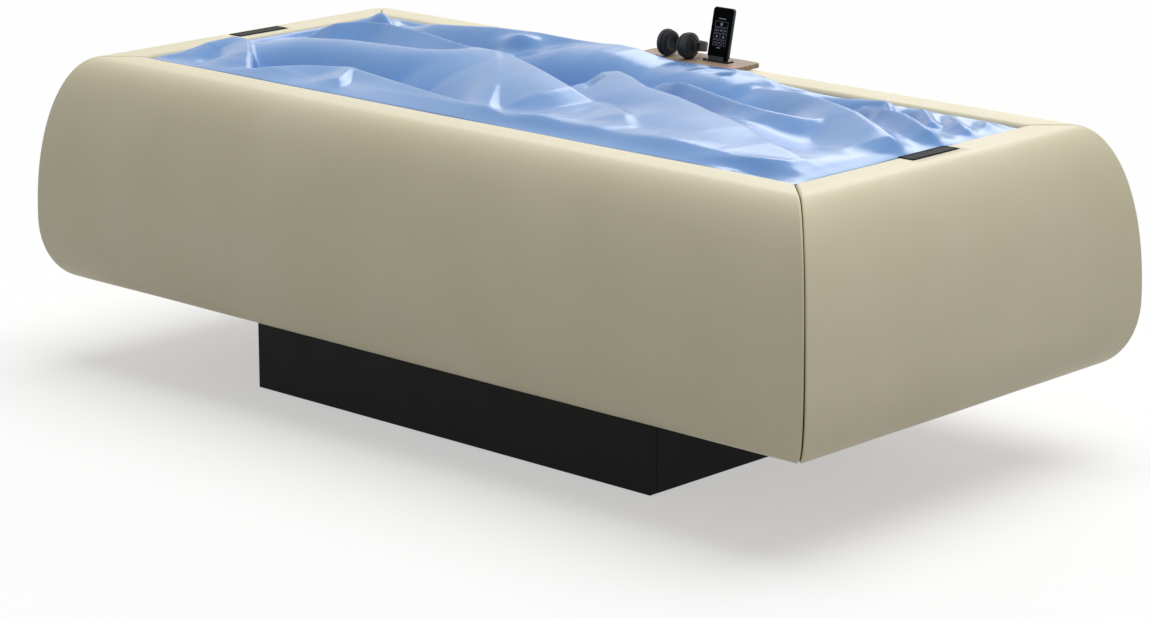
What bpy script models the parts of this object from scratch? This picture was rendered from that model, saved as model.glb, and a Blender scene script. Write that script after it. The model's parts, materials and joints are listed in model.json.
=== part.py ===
"""Dry float bed: a heated water tank under a loose membrane, in an upholstered shell on a plinth.

Metres, +Z up. The bed's length runs along X with the foot end at +X, the tray is on the rear
side at +Y, and the origin lies on the floor under the middle of the bed.
"""

import math

import bmesh
import bpy
from mathutils import Matrix, Vector

CLEAR = 0.0003                  # gap between pieces that touch

# Shell: overall size and the section of its padded panels
BED_LENGTH = 2.20
BED_WIDTH = 1.07
RIM_HEIGHT = 0.685
SHELL_REACH = 0.18              # opening edge to the widest point
RIM_FLAT = 0.07                 # flat top of the rim before it rounds over
RIM_EDGE_RADIUS = 0.014
BULGE_HEIGHT = 0.33             # height of the widest point
SHELL_BOTTOM = 0.19
SHELL_TUCK = 0.075              # how far the lower edge draws in under the bulge
UPPER_FULLNESS = 2.1            # superellipse exponents of the two curves
LOWER_FULLNESS = 2.15
COVER_THICKNESS = 0.012
COVER_LIP = 0.036               # depth of the turned-down edge at the opening
SEAM_GAP = 0.003                # between two panels at a mitred corner
SEAM_ROUND = 0.010              # rounding of a panel's edge beside the seam
CORE_JOINT = 0.001              # between two formers at a mitred corner

# Plinth, base frame and feet
PLINTH_LENGTH = 1.14
PLINTH_SIDE_SETBACK = 0.175     # the shell's widest point to the plinth's long face
PLINTH_BOARD = 0.018
PLINTH_EDGE = 0.001             # easing of a board's edges
PLINTH_FLOOR_GAP = 0.002
BASE_TUBE = 0.04
LOWER_RAIL_HEIGHT = 0.02
BASE_CROSS_RAILS = 2            # between the end rails
FOOT_HEIGHT = 0.03
FOOT_PAD_RADIUS = 0.018
FOOT_PAD_HEIGHT = 0.008
FOOT_STEM_RADIUS = 0.006
GLAND_RADIUS = 0.011
GLAND_BODY = 0.016              # length outside the plinth board
GLAND_STEM_RADIUS = 0.0066      # where it passes the board
GLAND_HEIGHT = 0.07

# Deck, tub frame and tank
DECK_THICKNESS = 0.018
FRAME_TUBE = 0.03
FRAME_SETBACK = 0.024           # opening edge to the tub frame's inner face
SIDE_POSTS = 5
END_POSTS = 3
BEARER_HEIGHT = 0.05
BEARER_WIDTH = 0.03
BEARERS = 7
BEARER_PITCH = 0.28
FLOOR_INSULATION = 0.03
SIDE_INSULATION = 0.02
MAT_LENGTH = 1.50
MAT_WIDTH = 0.50
MAT_THICKNESS = 0.002
TANK_WALL = 0.008
TANK_SETBACK = 0.001            # opening edge to the tank's outer face
TANK_CORNER = 0.03
FLANGE_WIDTH = 0.044
FLANGE_THICKNESS = 0.006
HEM_THICKNESS = 0.002
STRIP_THICKNESS = 0.004
STRIP_WIDTH = 0.025
STRIP_SETBACK = 0.010           # opening edge to the clamp strip's inner edge
RIM_BOARD_HEIGHT = 0.030
RIM_BOARD_CHAMFER = 0.002       # past the rounding inside the cover's edge

# Fittings in the tank floor
DRAIN_X, DRAIN_Y = -0.235, 0.12
DRAIN_RADIUS = 0.016
DRAIN_FLANGE_RADIUS = 0.032
VALVE_RADIUS = 0.021
VALVE_LENGTH = 0.062
VALVE_COLLAR = 0.012            # narrower ring at each end of the body
VALVE_TAPER = 0.004
VALVE_OUTLET = 0.020
VALVE_BOSS_RADIUS = 0.008
VALVE_BOSS = 0.008              # how far the lever's boss stands out
LEVER_LENGTH = 0.085
LEVER_HUB_RADIUS = 0.011
LEVER_TIP_RADIUS = 0.006
LEVER_THICKNESS = 0.004
PROBE_X, PROBE_Y = -0.235, -0.12
PROBE_RADIUS = 0.006
PROBE_FLANGE_RADIUS = 0.013
PORT_RADIUS = 0.009
PORT_FLANGE_RADIUS = 0.020
FITTING_FLANGE = 0.004
HOLE_PLAY = 0.0005              # a fitting's radial play in its hole

# Lift platform and its air bellows
LIFT_TOP_DROP = 0.082           # rim height to the raised platform's top
SLAT_WIDTH = 0.058
SLAT_GAP = 0.012
SLAT_THICKNESS = 0.018
SLAT_CORNER = 0.012
SLAT_END_GAP = 0.030            # tank wall to the slats' ends
SLAT_SIDE_GAP = 0.030           # least gap from the tank wall to the outer slats
BATTEN_HEIGHT = 0.020
BATTEN_WIDTH = 0.05
BATTEN_X = 0.78
BEAM_HEIGHT = 0.030
BELLOWS_BEAM_WIDTH = 0.20
BELLOWS_X = 0.40
BELLOWS_RADIUS = 0.10
BELLOWS_DEPTH = 0.020           # how far each fold draws in
BELLOWS_FOLDS = 5
RAIL_WIDTH = 0.020
RAIL_DEPTH = 0.010
RAIL_FLOOR_GAP = 0.012
SHOE_WIDTH = 0.060
SHOE_PLAY = 0.001

# Air pump and electrics on the shelf in the plinth
SHELF_THICKNESS = 0.002
SHELF_LEG_GAP = 0.012
PUMP_X, PUMP_Y = 0.23, -0.15
PUMP_MOTOR_RADIUS = 0.034
PUMP_MOTOR_LENGTH = 0.12
PUMP_MOTOR_CHAMFER = 0.008
PUMP_FOOT_SETBACK = 0.02
PUMP_HEAD_LENGTH = 0.06
PUMP_HEAD_SIZE = 0.074
PUMP_HEAD_EDGE = 0.004
PUMP_JOIN = 0.005               # how far the pump's parts reach into each other
PUMP_BARB_LENGTH = 0.018
PUMP_BARB_PITCH = 0.03
HOSE_RADIUS = 0.0065
CONTROL_X, CONTROL_Y = 0.25, 0.16
CONTROL_LENGTH = 0.24
CONTROL_WIDTH = 0.14
CONTROL_HEIGHT = 0.06
CONTROL_LID = 0.010
CONTROL_LID_OVERHANG = 0.003
CONTROL_CORNER = 0.008
HEAD_HOSE_ROUTE = [
    (0.26, -0.02, 0.086), (0.20, 0.022, 0.078), (0.05, 0.034, 0.074),
    (-0.12, 0.026, 0.076), (-0.26, 0.006, 0.082), (-0.36, 0.0, 0.100),
]
FOOT_HOSE_ROUTE = [(0.345, -0.055, 0.089), (0.385, -0.016, 0.104)]

# Touch strips let into the rim
TOUCH_LENGTH = 0.145
TOUCH_WIDTH = 0.038
TOUCH_Y = 0.016
TOUCH_GLASS = 0.003
TOUCH_PROUD = 0.0006
TOUCH_HOUSING = 0.016
TOUCH_HOUSING_EDGE = 0.001
TOUCH_GLASS_EDGE = 0.0006
FOOT_TOUCH_SETBACK = 0.006      # opening edge to the strip
HEAD_TOUCH_SETBACK = 0.029

# Tray with the media player and the headphones
TRAY_LENGTH = 0.285
TRAY_DEPTH = 0.105
TRAY_THICKNESS = 0.010
TRAY_CORNER = 0.012
TRAY_EDGE = 0.0015
TRAY_X = 0.005
TRAY_SETBACK = 0.002            # opening edge to the tray's inner edge
BRACKET_LENGTH = 0.23
BRACKET_WIDTH = 0.026
BRACKET_PLATE = 0.003
BRACKET_SETBACK = 0.034         # opening edge to the line of the pegs
PEG_RADIUS = 0.005
PEG_SPACING = 0.19
PEG_IN_TRAY = 0.005
PLAYER_WIDTH = 0.0586
PLAYER_HEIGHT = 0.111
PLAYER_THICKNESS = 0.0075
PLAYER_GLASS = 0.0012
PLAYER_GLASS_INSET = 0.0012
PLAYER_CORNER = 0.007
PLAYER_EDGE = 0.0015
PLAYER_X = 0.068
PLAYER_SETBACK = 0.057          # opening edge to the player's foot
PLAYER_LEAN = math.radians(12)
DOCK_WIDTH = 0.072
DOCK_DEPTH = 0.026
DOCK_PLATE = 0.0035
DOCK_CORNER = 0.006
CRADLE_WIDTH = 0.042
CRADLE_WALL = 0.004
CRADLE_FRONT = 0.005            # height of the lip in front of the player
CRADLE_BACK = 0.045             # height of the rest behind it
PHONES_X = -0.028
PHONES_SETBACK = 0.035          # opening edge to the ear axis
CUP_RADIUS = 0.029
CUP_DEPTH = 0.014
CUSHION_DEPTH = 0.012
CUSHION_RADIUS = 0.027
CUSHION_DISH = 0.004
EAR_GAP = 0.030                 # between the two cushions
HINGE_RADIUS = 0.0028
HINGE_BARREL = 0.008
HINGE_LUG = 0.0035
YOKE_THICKNESS = 0.0025
YOKE_HEIGHT = 0.0156
YOKE_LENGTH = 0.026
YOKE_EDGE = 0.0008
BAND_THICKNESS = 0.0025
BAND_HEIGHT = 0.020
BAND_ARCH = 0.034
BAND_LEG = 0.018                # straight run at each end of the arch, beside its yoke
BAND_LEG_PAST = 0.002           # arch's start past the yoke's end
BAND_DROOP = math.radians(9)
BAND_PAD_THICKNESS = 0.006
BAND_PAD_SPREAD = math.radians(100)
PHONE_STEPS = 24

# Membrane: its main folds. Each is a crest line of (x, y, height over the rim), after the width over
# which it falls away on its front side, to the right of its run, the front's fullness (1 is straight,
# more swells), and the width of its back.
MEMBRANE_THICKNESS = 0.003
EDGE_SLACK = 0.009              # rim height to the slack sheet beside the rim
DEEP_SLACK = 0.056              # rim height to the valleys in the middle
SLACK_SPREAD = 0.14             # distance from the rim to the deep valleys
EDGE_RISE = 0.040               # width over which the sheet rises from its hem
BACK_FULLNESS = 0.80            # a fold's back is drawn in
FOLD_MERGE = 0.006              # rounding where two folds meet
CREST_ROUNDING = 0.20           # how far each point is drawn to its neighbours' level
MEMBRANE_CELLS = (34, 11)
FOLDS = [
    (0.17, 1.0, 0.06, [(-0.83, 0.02, 0.000), (-0.80, 0.057, 0.025), (-0.772, 0.075, 0.040),
                       (-0.741, 0.121, 0.042), (-0.672, 0.137, 0.042), (-0.524, 0.117, 0.042),
                       (-0.399, 0.085, 0.040), (-0.30, 0.068, 0.038), (-0.211, 0.066, 0.036),
                       (-0.11, 0.025, 0.034), (-0.031, -0.012, 0.032), (0.09, -0.065, 0.025),
                       (0.165, -0.085, 0.008)]),
    (0.16, 1.9, 0.07, [(-0.84, -0.12, 0.002), (-0.804, -0.12, 0.016), (-0.722, -0.074, 0.030),
                       (-0.61, -0.036, 0.034), (-0.413, -0.012, 0.036), (-0.30, 0.05, 0.036)]),
    (0.32, 1.5, 0.05, [(-0.708, -0.346, 0.000), (-0.615, -0.300, 0.010), (-0.547, -0.231, 0.014),
                       (-0.451, -0.181, 0.015), (-0.241, -0.228, 0.013), (-0.104, -0.255, 0.011),
                       (0.058, -0.28, 0.009), (0.17, -0.325, -0.004)]),
    (0.14, 1.1, 0.05, [(-0.78, 0.305, -0.006), (-0.685, 0.30, 0.016), (-0.493, 0.30, 0.033),
                       (-0.411, 0.30, 0.034), (-0.25, 0.30, 0.036), (-0.118, 0.305, 0.041),
                       (-0.003, 0.305, 0.038), (0.152, 0.30, 0.032), (0.25, 0.30, 0.034),
                       (0.308, 0.295, 0.026), (0.355, 0.275, 0.006), (0.45, 0.225, 0.006),
                       (0.543, 0.19, 0.013), (0.60, 0.19, 0.014), (0.658, 0.164, 0.013),
                       (0.784, 0.075, 0.010), (0.90, -0.014, 0.000)]),
    (0.24, 1.8, 0.08, [(-0.02, 0.085, 0.000), (-0.004, 0.116, 0.020), (0.033, 0.134, 0.026),
                       (0.095, 0.106, 0.026), (0.198, 0.045, 0.026), (0.308, 0.013, 0.026),
                       (0.47, -0.058, 0.025), (0.596, -0.11, 0.022), (0.717, -0.181, 0.016),
                       (0.81, -0.221, 0.008), (0.89, -0.236, 0.000)]),
    (0.13, 1.2, 0.09, [(0.15, 0.135, 0.014), (0.20, 0.118, 0.026), (0.241, 0.108, 0.027),
                       (0.35, 0.056, 0.026), (0.465, 0.012, 0.025), (0.547, 0.000, 0.022),
                       (0.589, 0.013, 0.020), (0.615, 0.059, 0.015), (0.612, 0.102, 0.006)]),
    (0.15, 1.6, 0.035, [(-0.905, -0.33, 0.000), (-0.895, -0.28, 0.018), (-0.885, -0.21, 0.024),
                        (-0.86, -0.155, 0.027), (-0.81, -0.155, 0.027), (-0.711, -0.235, 0.022),
                        (-0.65, -0.30, 0.004)]),
    (0.05, 1.5, 0.04, [(-0.905, 0.30, 0.000), (-0.875, 0.31, 0.022), (-0.835, 0.29, 0.019),
                       (-0.77, 0.26, 0.000)]),
    (0.08, 1.7, 0.16, [(-0.25, 0.06, 0.034), (-0.15, -0.04, 0.026), (-0.05, -0.15, 0.017),
                       (0.045, -0.262, 0.000)]),
    (0.06, 1.3, 0.06, [(0.22, -0.10, 0.004), (0.298, -0.146, 0.014), (0.409, -0.237, 0.008),
                       (0.45, -0.262, -0.006)]),
    (0.06, 1.2, 0.08, [(0.58, -0.345, -0.010), (0.662, -0.318, 0.007), (0.727, -0.297, 0.009),
                       (0.783, -0.281, 0.009), (0.826, -0.262, 0.006), (0.85, -0.20, -0.006)]),
    (0.07, 1.2, 0.05, [(0.62, 0.285, 0.000), (0.72, 0.236, 0.011), (0.818, 0.18, 0.009),
                       (0.91, 0.125, -0.004)]),
]

# Sizes that follow from the ones above
HALF_LENGTH = BED_LENGTH / 2 - SHELL_REACH
HALF_WIDTH = BED_WIDTH / 2 - SHELL_REACH
DECK_TOP = SHELL_BOTTOM + DECK_THICKNESS
BEARER_TOP = DECK_TOP + CLEAR + BEARER_HEIGHT
INSULATION_TOP = BEARER_TOP + CLEAR + FLOOR_INSULATION
MAT_TOP = INSULATION_TOP + CLEAR + MAT_THICKNESS
TANK_BOTTOM = MAT_TOP + CLEAR
TANK_FLOOR = TANK_BOTTOM + TANK_WALL
RIM_BOARD_TOP = RIM_HEIGHT - COVER_THICKNESS - CLEAR
STRIP_TOP = RIM_BOARD_TOP - RIM_BOARD_HEIGHT - CLEAR
HEM_TOP = STRIP_TOP - STRIP_THICKNESS - CLEAR
FLANGE_TOP = HEM_TOP - HEM_THICKNESS - CLEAR
FRAME_TOP = FLANGE_TOP - FLANGE_THICKNESS - CLEAR
FRAME_OUTER = FRAME_SETBACK + FRAME_TUBE
TANK_IN_X = HALF_LENGTH - TANK_SETBACK - TANK_WALL
TANK_IN_Y = HALF_WIDTH - TANK_SETBACK - TANK_WALL
PLINTH_WIDTH = BED_WIDTH - 2 * PLINTH_SIDE_SETBACK
FRAME_IN_X = PLINTH_LENGTH / 2 - PLINTH_BOARD - CLEAR
FRAME_IN_Y = PLINTH_WIDTH / 2 - PLINTH_BOARD - CLEAR
LEG_X = FRAME_IN_X - BASE_TUBE / 2
LEG_Y = FRAME_IN_Y - BASE_TUBE / 2
BASE_TOP = SHELL_BOTTOM - CLEAR
SHELF_BOTTOM = FOOT_HEIGHT + LOWER_RAIL_HEIGHT + CLEAR
SHELF_TOP = SHELF_BOTTOM + SHELF_THICKNESS
LIFT_TOP = RIM_HEIGHT - LIFT_TOP_DROP
BEAM_TOP = LIFT_TOP - SLAT_THICKNESS - CLEAR
BEAM_BOTTOM = BEAM_TOP - BEAM_HEIGHT
SLAT_COUNT = int((2 * (TANK_IN_Y - SLAT_SIDE_GAP) + SLAT_GAP) / (SLAT_WIDTH + SLAT_GAP))
BEAM_HALF = (SLAT_COUNT * (SLAT_WIDTH + SLAT_GAP) - SLAT_GAP) / 2
RAIL_FACE = TANK_IN_Y - RAIL_DEPTH
PORT_BOTTOM = SHELL_BOTTOM - BASE_TUBE
PUMP_AXIS = SHELF_TOP + CLEAR + PUMP_HEAD_SIZE / 2
TRAY_BOTTOM = RIM_HEIGHT + CLEAR
TRAY_TOP = TRAY_BOTTOM + TRAY_THICKNESS
TRAY_Y = HALF_WIDTH + TRAY_SETBACK + TRAY_DEPTH / 2
PLAYER_Y = HALF_WIDTH + PLAYER_SETBACK
PHONES_Y = HALF_WIDTH + PHONES_SETBACK
PHONES_Z = TRAY_TOP + CLEAR + CUP_RADIUS
CUP_FACE = EAR_GAP / 2 + CUSHION_DEPTH + CLEAR + CUP_DEPTH
HINGE_X = CUP_FACE + HINGE_RADIUS
YOKE_FACE = HINGE_X + HINGE_RADIUS
BAND_FACE = YOKE_FACE + YOKE_THICKNESS + CLEAR

# Finishes: colour, roughness, metallic
LEATHERETTE = ((0.80, 0.77, 0.66), 0.45, 0.0)
FILM = ((0.24, 0.42, 0.72), 0.30, 0.0)
BLACK_BOARD = ((0.012, 0.012, 0.011), 0.60, 0.0)
STEEL = ((0.25, 0.26, 0.27), 0.45, 0.9)
STAINLESS = ((0.55, 0.55, 0.54), 0.30, 1.0)
ALUMINIUM = ((0.62, 0.62, 0.62), 0.35, 1.0)
BRASS = ((0.62, 0.45, 0.18), 0.35, 1.0)
PLYWOOD = ((0.52, 0.38, 0.23), 0.65, 0.0)
POLYPROPYLENE = ((0.70, 0.71, 0.70), 0.40, 0.0)
WHITE_PLASTIC = ((0.72, 0.72, 0.70), 0.40, 0.0)
FOAM = ((0.62, 0.60, 0.52), 0.90, 0.0)
RUBBER = ((0.03, 0.03, 0.03), 0.70, 0.0)
HEATER = ((0.45, 0.16, 0.08), 0.55, 0.0)
GREY_PLASTIC = ((0.16, 0.16, 0.16), 0.50, 0.0)
BLACK_PLASTIC = ((0.014, 0.014, 0.015), 0.45, 0.0)
DARK_GLASS = ((0.020, 0.020, 0.020), 0.10, 0.0)
TRAY_WOOD = ((0.34, 0.25, 0.20), 0.50, 0.0)
EAR_FOAM = ((0.020, 0.020, 0.022), 0.85, 0.0)

SIDES = ("front", "rear", "head", "foot")


def clear_scene():
    for old in list(bpy.data.objects):
        bpy.data.objects.remove(old, do_unlink=True)


def finish_piece(bm, name, finish, origin=(0.0, 0.0, 0.0)):
    """Make an object of a bmesh drawn in world coordinates, with its origin where asked."""
    bmesh.ops.recalc_face_normals(bm, faces=bm.faces)
    bmesh.ops.translate(bm, vec=-Vector(origin), verts=bm.verts)
    mesh = bpy.data.meshes.new(name)
    bm.to_mesh(mesh)
    bm.free()
    mesh.shade_smooth()
    mesh.set_sharp_from_angle(angle=math.radians(35))
    piece = bpy.data.objects.new(name, mesh)
    piece.location = origin
    bpy.context.scene.collection.objects.link(piece)
    set_finish(mesh, finish)
    return piece


def set_finish(data, finish):
    colour, roughness, metallic = finish
    material = bpy.data.materials.new(data.name)
    material.use_nodes = True
    shader = material.node_tree.nodes["Principled BSDF"]
    shader.inputs["Base Color"].default_value = (*colour, 1.0)
    shader.inputs["Roughness"].default_value = roughness
    shader.inputs["Metallic"].default_value = metallic
    data.materials.append(material)


def combine(piece, tool, operation):
    """Cut a tool out of a piece, or join it on, and leave the tool as a hidden guide."""
    tool.hide_render = True
    tool.display_type = "WIRE"
    boolean = piece.modifiers.new(tool.name, "BOOLEAN")
    boolean.operation = operation
    boolean.object = tool


def add_box(bm, low, high):
    size = Vector(high) - Vector(low)
    middle = (Vector(high) + Vector(low)) / 2
    place = Matrix.Translation(middle) @ Matrix.Diagonal((*size, 1.0))
    bmesh.ops.create_cube(bm, size=1.0, matrix=place)


def box_piece(name, finish, low, high, edge=0.0):
    bm = bmesh.new()
    add_box(bm, low, high)
    if edge:
        bmesh.ops.bevel(bm, geom=bm.edges, offset=edge, segments=2, profile=0.5, affect="EDGES")
    return finish_piece(bm, name, finish)


def add_loft(bm, loops):
    """Skin a row of closed loops of equal length and cap both ends."""
    rings = [[bm.verts.new(point) for point in loop] for loop in loops]
    count = len(rings[0])
    for near, far in zip(rings, rings[1:]):
        for k in range(count):
            nxt = (k + 1) % count
            bm.faces.new((near[k], near[nxt], far[nxt], far[k]))
    bm.faces.new(rings[0])
    bm.faces.new(rings[-1])


def add_turned(bm, centre, profile, steps=24, axis="Z"):
    """Turn a profile of (radius, distance along the axis), whose two ends lie on the axis."""
    turn = {"Z": Matrix(), "X": Matrix.Rotation(math.pi / 2, 4, "Y"),
            "Y": Matrix.Rotation(-math.pi / 2, 4, "X")}[axis]
    place = Matrix.Translation(centre) @ turn
    ends = [bm.verts.new(place @ Vector((0, 0, profile[k][1]))) for k in (0, -1)]
    rings = []
    for radius, along in profile[1:-1]:
        angles = [2 * math.pi * k / steps for k in range(steps)]
        points = [Vector((radius * math.cos(a), radius * math.sin(a), along)) for a in angles]
        rings.append([bm.verts.new(place @ point) for point in points])
    for near, far in zip(rings, rings[1:]):
        for k in range(steps):
            nxt = (k + 1) % steps
            bm.faces.new((near[k], near[nxt], far[nxt], far[k]))
    for end, ring in zip(ends, (rings[0], rings[-1])):
        for k in range(steps):
            bm.faces.new((end, ring[k], ring[(k + 1) % steps]))


def turned_piece(name, finish, centre, profile, steps=24, axis="Z"):
    bm = bmesh.new()
    add_turned(bm, centre, profile, steps, axis)
    return finish_piece(bm, name, finish)


def hole_cutter(name, x, y, radius, low, high):
    """A plain round cutter along Z."""
    profile = [(0, low), (radius, low), (radius, high), (0, high)]
    return turned_piece(name, STEEL, (x, y, 0), profile, steps=16)


def rounded_rectangle(half_x, half_y, radius, z, steps=5):
    points = []
    for turn, (sx, sy) in enumerate(((1, 1), (-1, 1), (-1, -1), (1, -1))):
        for k in range(steps + 1):
            angle = math.pi / 2 * (turn + k / steps)
            points.append((sx * (half_x - radius) + radius * math.cos(angle),
                           sy * (half_y - radius) + radius * math.sin(angle), z))
    return points


def shift(points, x, y):
    return [(px + x, py + y, pz) for px, py, pz in points]


def side_point(side, along, outward, z):
    """A point on one side of the bed, from its place along the side and out from the opening."""
    x, y = HALF_LENGTH + outward, HALF_WIDTH + outward
    return {"front": (along, -y, z), "rear": (-along, y, z),
            "foot": (x, along, z), "head": (-x, -along, z)}[side]


def half_side(side):
    return HALF_LENGTH if side in ("front", "rear") else HALF_WIDTH


def add_mitred(bm, side, sections, gap):
    """Run a section of (outward, z) along a side between two 45 degree mitres.

    sections holds (distance from the mitre, section) from the end inwards, and the far end
    mirrors it.
    """
    stations = [(-1, set_in, section) for set_in, section in sections]
    stations += [(1, set_in, section) for set_in, section in reversed(sections)]
    loops = []
    for end, set_in, section in stations:
        reach = half_side(side) - gap * math.sqrt(0.5) - set_in
        loops.append([side_point(side, end * (reach + r), r, z) for r, z in section])
    add_loft(bm, loops)


def rectangle(inner, outer, low, high):
    return [(inner, low), (outer, low), (outer, high), (inner, high)]


def add_ring(bm, half_x, half_y, section):
    """Run a closed section of (outward, z) right round a rectangle, mitred at its corners."""
    corners = []
    for sx, sy in ((1, 1), (-1, 1), (-1, -1), (1, -1)):
        corners.append([bm.verts.new((sx * (half_x + r), sy * (half_y + r), z)) for r, z in section])
    count = len(section)
    for turn in range(4):
        near, far = corners[turn], corners[(turn + 1) % 4]
        for k in range(count):
            nxt = (k + 1) % count
            bm.faces.new((near[k], near[nxt], far[nxt], far[k]))


def ring_piece(name, finish, section):
    """A frame round the bed's opening."""
    bm = bmesh.new()
    add_ring(bm, HALF_LENGTH, HALF_WIDTH, section)
    return finish_piece(bm, name, finish)


def shell_outline():
    """The panel's outer curve: up the opening's lip, over the rim, round the bulge and under."""
    points = [(0.0, RIM_HEIGHT - COVER_LIP)]
    for k in range(5):
        angle = math.pi / 2 * k / 4
        points.append((RIM_EDGE_RADIUS * (1 - math.cos(angle)),
                       RIM_HEIGHT - RIM_EDGE_RADIUS * (1 - math.sin(angle))))
    for k in range(13):
        t = math.pi / 2 * k / 12
        points.append((RIM_FLAT + (SHELL_REACH - RIM_FLAT) * math.sin(t) ** (2 / UPPER_FULLNESS),
                       BULGE_HEIGHT
                       + (RIM_HEIGHT - BULGE_HEIGHT) * max(math.cos(t), 0) ** (2 / UPPER_FULLNESS)))
    for k in range(1, 9):
        t = math.pi / 2 * k / 8
        points.append((SHELL_REACH - SHELL_TUCK
                       + SHELL_TUCK * max(math.cos(t), 0) ** (2 / LOWER_FULLNESS),
                       BULGE_HEIGHT
                       - (BULGE_HEIGHT - SHELL_BOTTOM) * math.sin(t) ** (2 / LOWER_FULLNESS)))
    return points


def inset_outline(points, depth):
    """Move an outline to its inner side, its two ends square to the outline."""
    moved = []
    last = len(points) - 1
    for k, (r, z) in enumerate(points):
        before, after = points[max(k - 1, 0)], points[min(k + 1, last)]
        tangent = Vector((after[0] - before[0], after[1] - before[1])).normalized()
        if k == 0:
            tangent = Vector((0, 1))
        if k == last:
            tangent = Vector((-1, 0))
        moved.append((r + depth * tangent.y, z - depth * tangent.x))
    return moved


def cover_section(depth):
    """The padded cover's closed section, its outer face drawn in by depth beside a seam."""
    outline = shell_outline()
    inner = inset_outline(outline, COVER_THICKNESS)
    return inset_outline(outline, depth) + inner[::-1]


def core_section():
    """The former that fills the cover behind the tub frame."""
    back = FRAME_OUTER + CLEAR
    low = DECK_TOP + CLEAR
    inner = inset_outline(shell_outline(), COVER_THICKNESS + CLEAR)
    curve = [(r, z) for r, z in inner if r > back + CLEAR and z > low + CLEAR]
    first = next(k for k, point in enumerate(inner) if point == curve[0])
    last = next(k for k, point in enumerate(inner) if point == curve[-1])
    top = cross_at(inner[first - 1], inner[first], 0, back)
    foot = cross_at(inner[last], inner[last + 1], 1, low)
    return [(back, low), top] + curve + [foot]


def cross_at(start, end, axis, value):
    """The point where the line from start to end reaches a value of r (0) or z (1)."""
    share = (value - start[axis]) / (end[axis] - start[axis])
    return tuple(a + share * (b - a) for a, b in zip(start, end))


def make_shell():
    touch = {"head": HEAD_TOUCH_SETBACK, "foot": FOOT_TOUCH_SETBACK}
    pockets = {side: touch_pocket(side, setback) for side, setback in touch.items()}
    pegs = [peg_hole(k) for k in (-1, 1)]
    for side in SIDES:
        bm = bmesh.new()
        steps = [math.radians(angle) for angle in (0, 45, 90)]
        rows = [(SEAM_ROUND * (1 - math.cos(a)), cover_section(SEAM_ROUND * (1 - math.sin(a))))
                for a in steps]
        add_mitred(bm, side, rows, SEAM_GAP)
        cover = finish_piece(bm, side + "_cover", LEATHERETTE)
        bm = bmesh.new()
        add_mitred(bm, side, [(0.0, core_section())], CORE_JOINT)
        core = finish_piece(bm, side + "_core", FOAM)
        if side in pockets:
            combine(cover, pockets[side], "DIFFERENCE")
            combine(core, pockets[side], "DIFFERENCE")
        if side == "rear":
            for peg in pegs:
                combine(cover, peg, "DIFFERENCE")
    inner, low = COVER_THICKNESS + CLEAR, STRIP_TOP + CLEAR
    chamfer = max(RIM_EDGE_RADIUS - COVER_THICKNESS, 0.0) + RIM_BOARD_CHAMFER
    board = [(inner, low), (FRAME_OUTER, low), (FRAME_OUTER, RIM_BOARD_TOP),
             (inner + chamfer, RIM_BOARD_TOP), (inner, RIM_BOARD_TOP - chamfer)]
    rim_frame = ring_piece("rim_frame", PLYWOOD, board)
    for tool in list(pockets.values()) + [bracket_recess()]:
        combine(rim_frame, tool, "DIFFERENCE")


def touch_pocket(side, setback):
    low = side_point(side, 0, setback - CLEAR, touch_floor())
    high = side_point(side, 0, setback + TOUCH_WIDTH + CLEAR, RIM_HEIGHT + TOUCH_GLASS)
    half = TOUCH_LENGTH / 2 + CLEAR
    corners = [(low[0], TOUCH_Y - half, low[2]), (high[0], TOUCH_Y + half, high[2])]
    return box_piece(side + "_touch_pocket", STEEL, *corners)


def touch_floor():
    return RIM_HEIGHT + TOUCH_PROUD - TOUCH_GLASS - CLEAR - TOUCH_HOUSING - CLEAR


def make_touch_strip(side, setback):
    inner, outer = sorted(side_point(side, 0, setback + d, 0)[0] for d in (0, TOUCH_WIDTH))
    near, far = TOUCH_Y - TOUCH_LENGTH / 2, TOUCH_Y + TOUCH_LENGTH / 2
    low = touch_floor() + CLEAR
    shelf = low + TOUCH_HOUSING
    box_piece(side + "_touch_housing", GREY_PLASTIC, (inner, near, low), (outer, far, shelf),
              TOUCH_HOUSING_EDGE)
    box_piece(side + "_touch_glass", DARK_GLASS, (inner, near, shelf + CLEAR),
              (outer, far, shelf + CLEAR + TOUCH_GLASS), TOUCH_GLASS_EDGE)


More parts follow.
